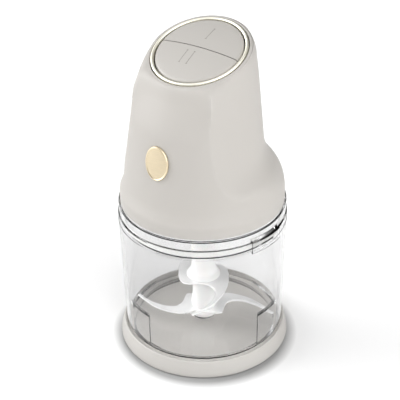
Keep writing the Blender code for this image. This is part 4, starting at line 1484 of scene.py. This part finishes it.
    def gland_drill(self) -> Mesh:
        """Build the rod that drills the hole for the cord's bush."""
        drill = bmesh.new()
        bmesh.ops.create_cone(drill, cap_ends=True, segments=48, radius1=self.gland_r,
                              radius2=self.gland_r, depth=self.gland_depth)
        bmesh.ops.rotate(drill, verts=drill.verts, cent=(0, 0, 0),
                         matrix=Matrix.Rotation(math.radians(90.0), 3, "X"))
        bmesh.ops.translate(drill, verts=drill.verts, vec=(0.0, self.gland_y, self.gland_z))
        return drill

    def crease_edges(self, bm: Mesh, loops: Sequence[Sequence[Vector]]) -> List[bmesh.types.BMEdge]:
        """Edges that run up the two creased sides of the apron.

        Args:
            bm: the shell.
            loops: the point loops it was raised through.

        Returns:
            The crease's edges.
        """
        first = self.apron_columns
        last = len(loops[0]) - self.apron_columns
        top = len(self.heights) + self.upper_steps
        found = []
        spots = {}
        for column in (first, last):
            for row in range(self.crease_from, top - 1):
                spots[tuple(round(c, 4) for c in loops[row][column])] = (column, row)
        for edge in bm.edges:
            keys = [tuple(round(c, 4) for c in v.co) for v in edge.verts]
            if keys[0] in spots and keys[1] in spots and spots[keys[0]][0] == spots[keys[1]][0]:
                found.append(edge)
        return found


@dataclass
class ControlPanel:
    """Gold ring and the two half-round buttons with their marks."""

    panel: Panel
    ring_outer: float = 34.5
    ring_inner: float = 32.4
    ring_low: float = -6.0
    button_r: float = 31.2
    split: float = 0.4
    dome: float = 3.0
    rim: float = 0.4
    underside: float = -4.2
    stem_r: float = 2.5
    stem_low: float = -9.6
    stem_offset: float = 14.0
    mark_length: float = 11.6
    mark_width: float = 0.5
    serif_width: float = 1.5
    mark_depth: float = 0.12
    mark_sunk: float = 0.08
    steps: int = 128

    def build(self) -> None:
        """Make the ring and both buttons."""
        ring = [(self.ring_inner, self.ring_low), (self.ring_outer, self.ring_low),
                (self.ring_outer, 0.0), (self.ring_outer - 0.4, 0.5), (33.4, 0.62),
                (self.ring_inner + 0.5, 0.45), (self.ring_inner, 0.0)]
        bm = spin_profile(ring, self.steps)
        soften(bm, 0.18, 2, 12.0)
        self.panel.settle(bm)
        finish_piece("gold_trim_ring", bm, Body.HEAD, Finishes.GOLD, ["trim_ring"])
        self.build_button("low_speed_button", "button_low", Body.LOW, 1.0, ((0.4, 15.0), ))
        self.build_button("high_speed_button", "button_high", Body.HIGH, -1.0,
                          ((-5.4, -10.8), (0.5, -10.8)))

    def top_height(self, radius: float) -> float:
        """Height of the domed top at a radius from the panel's centre."""
        return self.rim + self.dome * (1.0 - (radius / self.button_r) ** 2)

    def build_button(self, name: str, node: str, body: Body, side: float,
                     marks: Sequence[Pair]) -> None:
        """Make one half-round button.

        Args:
            name: the piece's name.
            node: the CAD node it stands for.
            body: its body.
            side: 1 for the rear half, -1 for the front half.
            marks: centres of its marks on the panel.
        """
        r = self.button_r
        profile = [(0.0, self.underside), (r - 0.3, self.underside), (r, self.rim - 1.6),
                   (r - 0.12, self.rim - 0.95), (r - 0.42, self.rim - 0.4),
                   (r - 0.85, self.rim - 0.02), (r - 1.4, self.rim + 0.22)]
        for radius in (28.0, 25.0, 22.0, 18.0, 14.0, 10.0, 6.0, 3.0, 0.0):
            profile.append((radius, self.top_height(radius)))
        bm = spin_profile(profile, self.steps // 2, 90.0 if side > 0 else -90.0, 180.0)
        bmesh.ops.translate(bm, verts=bm.verts, vec=(0.0, side * self.split, 0.0))
        stem = bmesh.new()
        stem_top = self.underside + 1.0
        bmesh.ops.create_cone(stem, cap_ends=True, segments=32, radius1=self.stem_r,
                              radius2=self.stem_r, depth=stem_top - self.stem_low)
        middle = (stem_top + self.stem_low) / 2.0
        bmesh.ops.translate(stem, verts=stem.verts, vec=(0.0, side * self.stem_offset, middle))
        bm = join_shapes(bm, stem)
        self.panel.settle(bm)
        finish_piece(name, bm, body, Finishes.BUTTON, [node], 30.0)
        self.build_marks(name, body, marks)

    def build_marks(self, name: str, body: Body, marks: Sequence[Pair]) -> None:
        """Lay the speed marks as thin inlaid bars with small end strokes.

        Args:
            name: the button's name.
            body: its body.
            marks: centres of the marks on the panel.
        """
        bm = bmesh.new()
        half = self.mark_length / 2.0
        for x, y in marks:
            self.bar(bm, (x, y), self.mark_width, self.mark_length)
            self.bar(bm, (x, y - half), self.serif_width, self.mark_width)
            self.bar(bm, (x, y + half), self.serif_width, self.mark_width)
        self.panel.settle(bm)
        finish_piece(name + "_marks", bm, body, Finishes.MARK)

    def bar(self, bm: Mesh, centre: Pair, wide: float, long: float) -> None:
        """Add one thin bar that follows the dome.

        Args:
            bm: where the bar goes.
            centre: its middle on the panel.
            wide: its size across the panel.
            long: its size along the panel.
        """
        cells = max(1, int(long))
        x, y = centre
        steps = [y - long / 2.0 + long * i / cells for i in range(cells + 1)]
        rail = [(x - wide / 2.0, step) for step in steps]
        rail += [(x + wide / 2.0, step) for step in reversed(steps)]
        made = flat_plate([rail], 0.0, self.mark_depth)
        for vert in made.verts:
            reach = math.hypot(vert.co.x, abs(vert.co.y) - self.split)
            vert.co.z += self.top_height(reach) - self.mark_sunk
        mesh = bpy.data.meshes.new("bar")
        made.to_mesh(mesh)
        made.free()
        bm.from_mesh(mesh)
        bpy.data.meshes.remove(mesh)


@dataclass
class Badge:
    """Plain oval plate with a raised border, bent to the apron."""

    shell: HeadShell
    width: float = 19.0
    height: float = 25.0
    z: float = 174.0
    gap: float = 0.3
    body: float = 1.0
    border: Tuple[Pair, ...] = ((0.02, 0.35), (0.05, 0.1), (0.05, -0.35), (0.03, -0.05))
    steps: int = 64

    def build(self) -> None:
        """Raise the plate from an oval disc and bend it."""
        bm = bmesh.new()
        bmesh.ops.create_circle(bm, cap_ends=True, cap_tris=False, segments=self.steps, radius=1.0)
        raised = bmesh.ops.extrude_face_region(bm, geom=list(bm.faces))
        top = [v for v in raised["geom"] if isinstance(v, bmesh.types.BMVert)]
        bmesh.ops.translate(bm, verts=top, vec=(0, 0, self.body))
        for amount, lift in self.border:
            face = max(bm.faces, key=lambda f: f.calc_center_median().z + 0.001 * f.calc_area())
            bmesh.ops.inset_region(bm, faces=[face], thickness=amount, depth=0.0)
            bmesh.ops.translate(bm, verts=list(face.verts), vec=(0, 0, lift))
        discs = [face for face in bm.faces if len(face.verts) == self.steps]
        centre = max(discs, key=lambda f: f.calc_center_median().z)
        bmesh.ops.poke(bm, faces=[centre])
        bmesh.ops.subdivide_edges(bm, edges=[e for e in bm.edges if e.calc_length() > 0.5], cuts=6,
                                  use_grid_fill=True)
        for vert in bm.verts:
            u = vert.co.x * self.width / 2.0
            z = self.z + vert.co.y * self.height / 2.0
            radius = self.shell.apron_radius(z, 0.0) + self.gap + vert.co.z
            vert.co = bearing_point(radius, math.degrees(u / radius), z)
        finish_piece("oval_badge", bm, Body.HEAD, Finishes.BADGE, ["badge_plate"],
                     25.0)


# ---------------------------------------------------------------- carried-over nodes


@dataclass
class Innards:
    """CAD nodes that are shown as they are, with better finishes."""

    pieces: Dict[str, bpy.types.Object]
    slots: Dict[str, str]

    def build(self) -> None:
        """Give each shown node the finish of its slot."""
        for name, piece in sorted(self.pieces.items()):
            if piece.hide_render:
                continue
            finish = SLOT_FINISH[self.slots[name]]
            piece.data.materials.clear()
            piece.data.materials.append(finish.material())
            LOG.info("%s: dressed in %s", name, finish.name)


# ---------------------------------------------------------------- studio


@dataclass
class Studio:
    """Pale floor, soft lights and the camera."""

    camera_at: Point = (427.106, -613.204, 575.993)
    right: Point = (0.8237703, 0.56676543, -0.0133954)
    up: Point = (-0.28729412, 0.43770667, 0.85198296)
    back: Point = (0.48873775, -0.69798984, 0.52339813)
    lens: float = 106.403
    # painted contact shadow on the floor: its centre, inner radius, width and darkest tone
    painted_shadow_at: Point = (0.0028, -0.004, 0.0)
    painted_shadow_r: float = 0.0635
    painted_shadow_w: float = 0.0095
    painted_shadow_tone: float = 0.38
    floor_size: float = 4.0
    lamp_size: float = 0.9
    lamp_aim: Point = (0.0, 0.0, 0.12)
    sky_low: float = 0.85
    sky_high: float = 1.15
    sky_least: float = 0.05
    lobes: Tuple[Tuple[Point, float, float], ...] = (
        ((-0.1, -0.949, 0.3), 0.5, -1.0), ((0.936, -0.297, 0.19), 0.5, 2.6),
        ((-0.841, -0.422, 0.339), 0.8, 5.0), ((0.1, 0.949, 0.3), 0.0, -1.0))

    def build(self) -> None:
        """Set the floor, the lights, the sky and the camera."""
        self.build_floor()
        self.build_lights()
        self.build_camera()

    def build_floor(self) -> None:
        """Lay a large pale floor with a painted contact shadow: darker in a ring where the base
        rests on it.
        """
        bm = bmesh.new()
        bmesh.ops.create_grid(bm, x_segments=8, y_segments=8, size=self.floor_size)
        mesh = bpy.data.meshes.new("floor")
        bm.to_mesh(mesh)
        bm.free()
        floor = bpy.data.objects.new("floor", mesh)
        bpy.context.scene.collection.objects.link(floor)
        material = bpy.data.materials.new("studio_floor")
        material.use_nodes = True
        graph = Graph(material.node_tree)
        shader = material.node_tree.nodes["Principled BSDF"]
        tone = graph.remap(graph.noise(graph.place(), 3.0), 0.3, 0.7, 0.95, 0.97)
        # painted shadow: the floor's colour darkens in a ring round the base's foot
        shifted = graph.vector("SUBTRACT", graph.place(), self.painted_shadow_at)
        away = graph.vector("LENGTH", shifted.outputs["Vector"])
        painted_shadow_factor = graph.remap(away.outputs["Value"], self.painted_shadow_r,
                             self.painted_shadow_r + self.painted_shadow_w, self.painted_shadow_tone, 1.0)
        tone = graph.math("MULTIPLY", tone, painted_shadow_factor)
        graph.feed(graph.grey(tone), shader.inputs["Base Color"])
        shader.inputs["Roughness"].default_value = 0.9
        shader.inputs["Specular IOR Level"].default_value = 0.1
        mesh.materials.append(material)

    def build_lights(self) -> None:
        """Hang the side lights and build the sky, brighter at both sides."""
        self.lamp("right_light", (1.1, -0.65, 0.85), 0.8)
        self.lamp("left_light", (-1.2, -0.9, 0.9), 1.0)
        world = bpy.data.worlds.new("sky")
        bpy.context.scene.world = world
        world.use_nodes = True
        graph = Graph(world.node_tree)
        way = graph.node("ShaderNodeTexCoord").outputs["Object"]
        height = graph.remap(graph.split(way)[2], 0.0, 0.9, self.sky_low, self.sky_high)
        swing = 1.0
        for side, edge, gain in self.lobes:
            facing = graph.vector("DOT_PRODUCT", way, side)
            lobe = graph.remap(facing.outputs["Value"], edge, 1.0, 0.0, gain)
            swing = graph.math("ADD", lobe, swing)
        swing = graph.math("MAXIMUM", swing, self.sky_least)
        sky = world.node_tree.nodes["Background"]
        sky.inputs["Color"].default_value = (1.0, 1.0, 1.0, 1.0)
        graph.feed(graph.math("MULTIPLY", height, swing), sky.inputs["Strength"])

    def lamp(self, name: str, place: Point, power: float) -> None:
        """Hang one square lamp that looks at the chopper.

        Args:
            name: the lamp's name.
            place: where it hangs, in metres.
            power: its power, in watts.
        """
        data = bpy.data.lights.new(name, "AREA")
        data.size = self.lamp_size
        data.energy = power
        lamp = bpy.data.objects.new(name, data)
        bpy.context.scene.collection.objects.link(lamp)
        lamp.location = place
        aim = Vector(self.lamp_aim) - Vector(place)
        lamp.rotation_euler = aim.to_track_quat("-Z", "Y").to_euler()

    def build_camera(self) -> None:
        """Stand the camera."""
        data = bpy.data.cameras.new("camera")
        data.sensor_width = 36.0
        data.lens = self.lens
        data.clip_start = 0.01
        camera = bpy.data.objects.new("camera", data)
        bpy.context.scene.collection.objects.link(camera)
        turn = Matrix((self.right, self.up, self.back)).transposed()
        camera.matrix_world = Matrix.Translation(Vector(self.camera_at) * MM) @ turn.to_4x4()
        bpy.context.scene.camera = camera


def main() -> None:
    logging.basicConfig(level=logging.INFO, format="%(name)s: %(message)s")
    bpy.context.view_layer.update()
    Base().build()
    Bowl().build()
    BladeSet().build()
    Lid().build()
    panel = Panel()
    shell = HeadShell(panel)
    shell.build()
    ControlPanel(panel).build()
    Badge(shell).build()
    slots = {part["node"]: part["material_slot"] for part in frame["record"]["subparts"]}
    Innards(frame["nodes"], slots).build()
    Studio().build()
    bpy.context.scene.view_settings.view_transform = "Standard"
    bpy.context.scene.cycles.max_bounces = 32
    bpy.context.scene.cycles.transmission_bounces = 32


if __name__ == "__main__":
    main()
